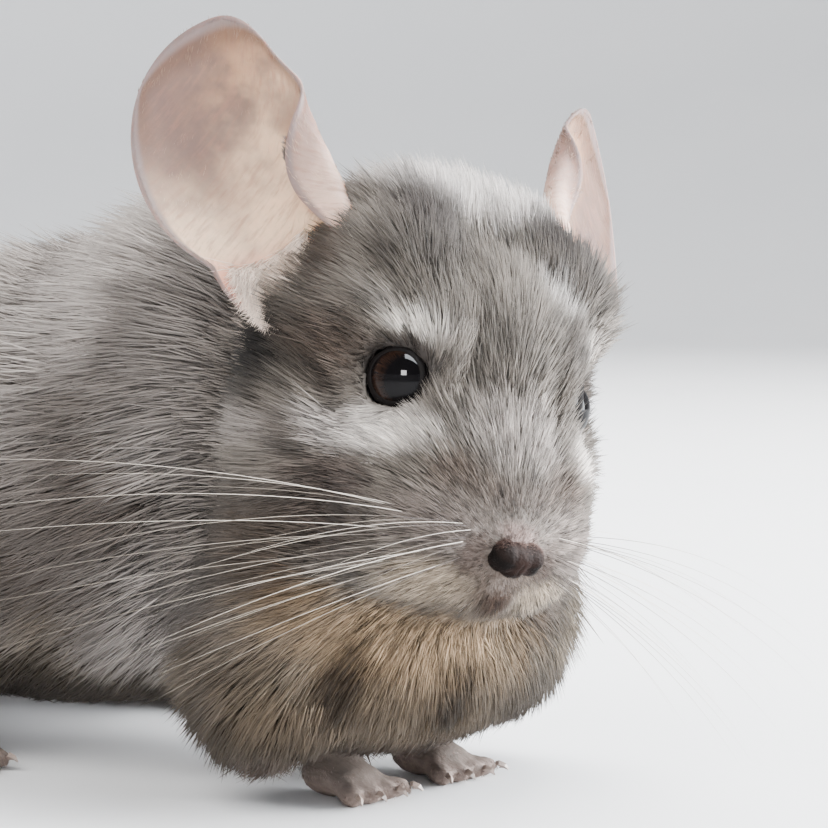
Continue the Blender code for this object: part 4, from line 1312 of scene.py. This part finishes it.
def makeWhiskers(material):
    paths = []
    for way in sides.values():
        for row in range(whiskerSettings["rows"]):
            for column in range(whiskerSettings["columns"]):
                paths.append((whiskerPath(way, row, column, 1.0), 1.0, way))
        for extra in range(whiskerSettings["extra"]):
            row, column = rng.uniform(-0.4, 2.6), rng.uniform(-0.5, 3.4)
            scale = rng.uniform(0.25, 0.85)
            paths.append((whiskerPath(way, row, column, scale), mixed(scale, 0.4, 0.9), way))
        for hair in range(whiskerSettings["brow"]):
            t = np.linspace(0, 1, whiskerSettings["steps"])[:, None]
            start = np.array([17 + hair, -4 + hair, 9.0])
            out = np.array([0.1 + 0.14 * hair, 0.35, 1.0])
            length = whiskerSettings["browLength"] - 3 * hair
            path = start + out * length * t + np.array([0, 6, 0]) * t * t
            paths.append((onSide(way, path), 0.5, way))
    corners, steps, paleShare = (whiskerSettings[key] for key in ("sides", "steps", "pale"))
    verts, faces, tones, alongs = [], [], [], []
    t = np.linspace(0, 1, steps)
    for number, (path, thick, way) in enumerate(paths):
        path = fromHead(path)
        ahead = unit(np.gradient(path, axis=0))
        side = unit(np.cross(ahead, [0.1, 0.2, 1.0]))
        radius = whiskerSettings["radius"] * mm * thick * (1 - whiskerSettings["taper"] * t ** 1.1)
        verts.append(tubeRings(path, side, np.cross(side, ahead), radius, corners))
        faces.append(ringFaces(steps, corners) + number * corners * steps)
        tones.append(np.full(corners * steps, float(rng.random() < paleShare[way])))
        alongs.append(np.repeat(t, corners))
    mesh = arrayMesh("whiskers", np.concatenate(verts), [np.concatenate(faces)])
    setAttribute(mesh, "tone", np.concatenate(tones))
    setAttribute(mesh, "along", np.concatenate(alongs))
    obj = addObject("whiskers", mesh, material)
    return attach(obj, "root")


# light and camera

studio = {
    "azimuth": -50, "elevation": 4, "camera": (-351.04, -280.37, 28.17), "lens": 119.35, "sensor": 36,
    "air": (0.92, 0.94, 0.97, 1), "airStrength": 0.5,
    "floor": 1.7, "curve": 0.7, "wall": 0.8, "corners": 72,
}
# place in metres from the head along the picture's right, up and towards the camera, size, power,
# colour and the kind of ray that doesn't see it
lights = {
    "keySoft": ((-0.7, 1.0, 0.8), (1.1, 1.0), 31, (1.0, 0.985, 0.96), "glossy"),
    "windowSide": ((0.68, 0.82, 0.29), (1.2, 0.32), 13, (0.93, 0.97, 1.0), "glossy"),
    "windowBack": ((1.15, 0.3, -0.25), (0.9, 1.0), 64, (0.97, 0.985, 1.0), "glossy"),
    "topBack": ((-0.1, 1.2, -0.7), (1.4, 0.8), 58, (1, 1, 1), "glossy"),
    "windowLow": ((0.9, -0.02, 0.05), (0.3, 0.5), 30, (0.97, 0.985, 1.0), None),
    "catchSquare": ((-0.02, 0.32, 0.8), (0.26, 0.24), 24, (1, 1, 1), "diffuse"),
    "catchWindow": ((0.8, 0.74, 0.0), (0.85, 2.2), 330, (0.9, 0.96, 1.0), "diffuse"),
}


def viewAxes():
    turn, rise = (math.radians(studio[key]) for key in ("azimuth", "elevation"))
    back = Vector((math.sin(turn) * math.cos(rise), -math.cos(turn) * math.cos(rise), math.sin(rise)))
    right = Vector((math.cos(turn), math.sin(turn), 0))
    return right, back.cross(right), back


# an area light aimed at the head, not seen by one kind of ray if hidden names it
def addLight(name, offset, size, power, colour, hidden):
    right, upward, back = viewAxes()
    data = bpy.data.lights.new(name, "AREA")
    data.shape = "RECTANGLE"
    data.size, data.size_y = size
    data.energy = power
    data.color = colour
    lamp = bpy.data.objects.new(name, data)
    bpy.context.scene.collection.objects.link(lamp)
    lamp.location = headAt + right * offset[0] + upward * offset[1] + back * offset[2]
    lamp.rotation_euler = (headAt - lamp.location).to_track_quat("-Z", "Y").to_euler()
    if hidden:
        setattr(lamp, "visible_" + hidden, False)


def makeStudio():
    flat, curve, top, corners = (studio[key] for key in ("floor", "curve", "wall", "corners"))
    profile = [(0.02, 0.0), (flat, 0.0)]
    profile += [(flat + curve * math.sin(a), curve * (1 - math.cos(a))) for a in np.linspace(0.1, 1.5, 14)]
    profile.append((flat + curve, top))
    angle = np.arange(corners) / corners * math.tau
    circle = np.stack([np.cos(angle), np.sin(angle), np.ones(corners)], 1)
    verts = np.concatenate([circle * np.array([reach, reach, level]) for reach, level in profile])
    mesh = arrayMesh("floor", verts, [ringFaces(len(profile), corners)[:, ::-1], np.arange(corners)[None]])
    floor = addObject("floor", mesh, floorMaterial())
    for name, values in lights.items():
        addLight(name, *values)
    world = bpy.data.worlds.new("studioAir")
    bpy.context.scene.world = world
    world.use_nodes = True
    background = world.node_tree.nodes["Background"]
    background.inputs[0].default_value = studio["air"]
    background.inputs[1].default_value = studio["airStrength"]
    data = bpy.data.cameras.new("view")
    data.lens = studio["lens"]
    data.sensor_width = studio["sensor"]
    data.clip_start = 0.01
    camera = bpy.data.objects.new("view", data)
    bpy.context.scene.collection.objects.link(camera)
    place = Matrix.Translation(headAt + Vector(studio["camera"]) * mm)
    camera.matrix_world = place @ Matrix(viewAxes()).transposed().to_4x4()
    bpy.context.scene.camera = camera


def main():
    skinMesh, flesh = makeSkin()
    setAttribute(skinMesh, "pelt", pelt(coordinates(skinMesh)))
    skin = addObject("skin", skinMesh, hideMaterial())
    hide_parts(*flesh, "tail_brush")
    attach(skin, "root")
    growCoat(skinMesh)
    leaf = earMaterial()
    earFur = furMaterial("furEar", 0.8, 0.2)
    for side in sides:
        ear = makeEar(side, leaf)
        growEarFur(side, ear, earFur)
    wet, lid = eyeMaterial(), lidMaterial()
    for side in sides:
        makeEye(side, wet)
        makeLids(side, lid)
    pad, padAt = makeNose(noseMaterial())
    growNoseFur(pad, padAt, furMaterial("furNose", 0.8, 0.1))
    makeWhiskers(whiskerMaterial())
    horn = hornMaterial()
    for name, node in nodes.items():
        if name.startswith("claw"):
            node.data.materials.clear()
            node.data.materials.append(horn)
    print("eyes, nose, whiskers and claws done")
    makeStudio()
    print("studio done")


main()
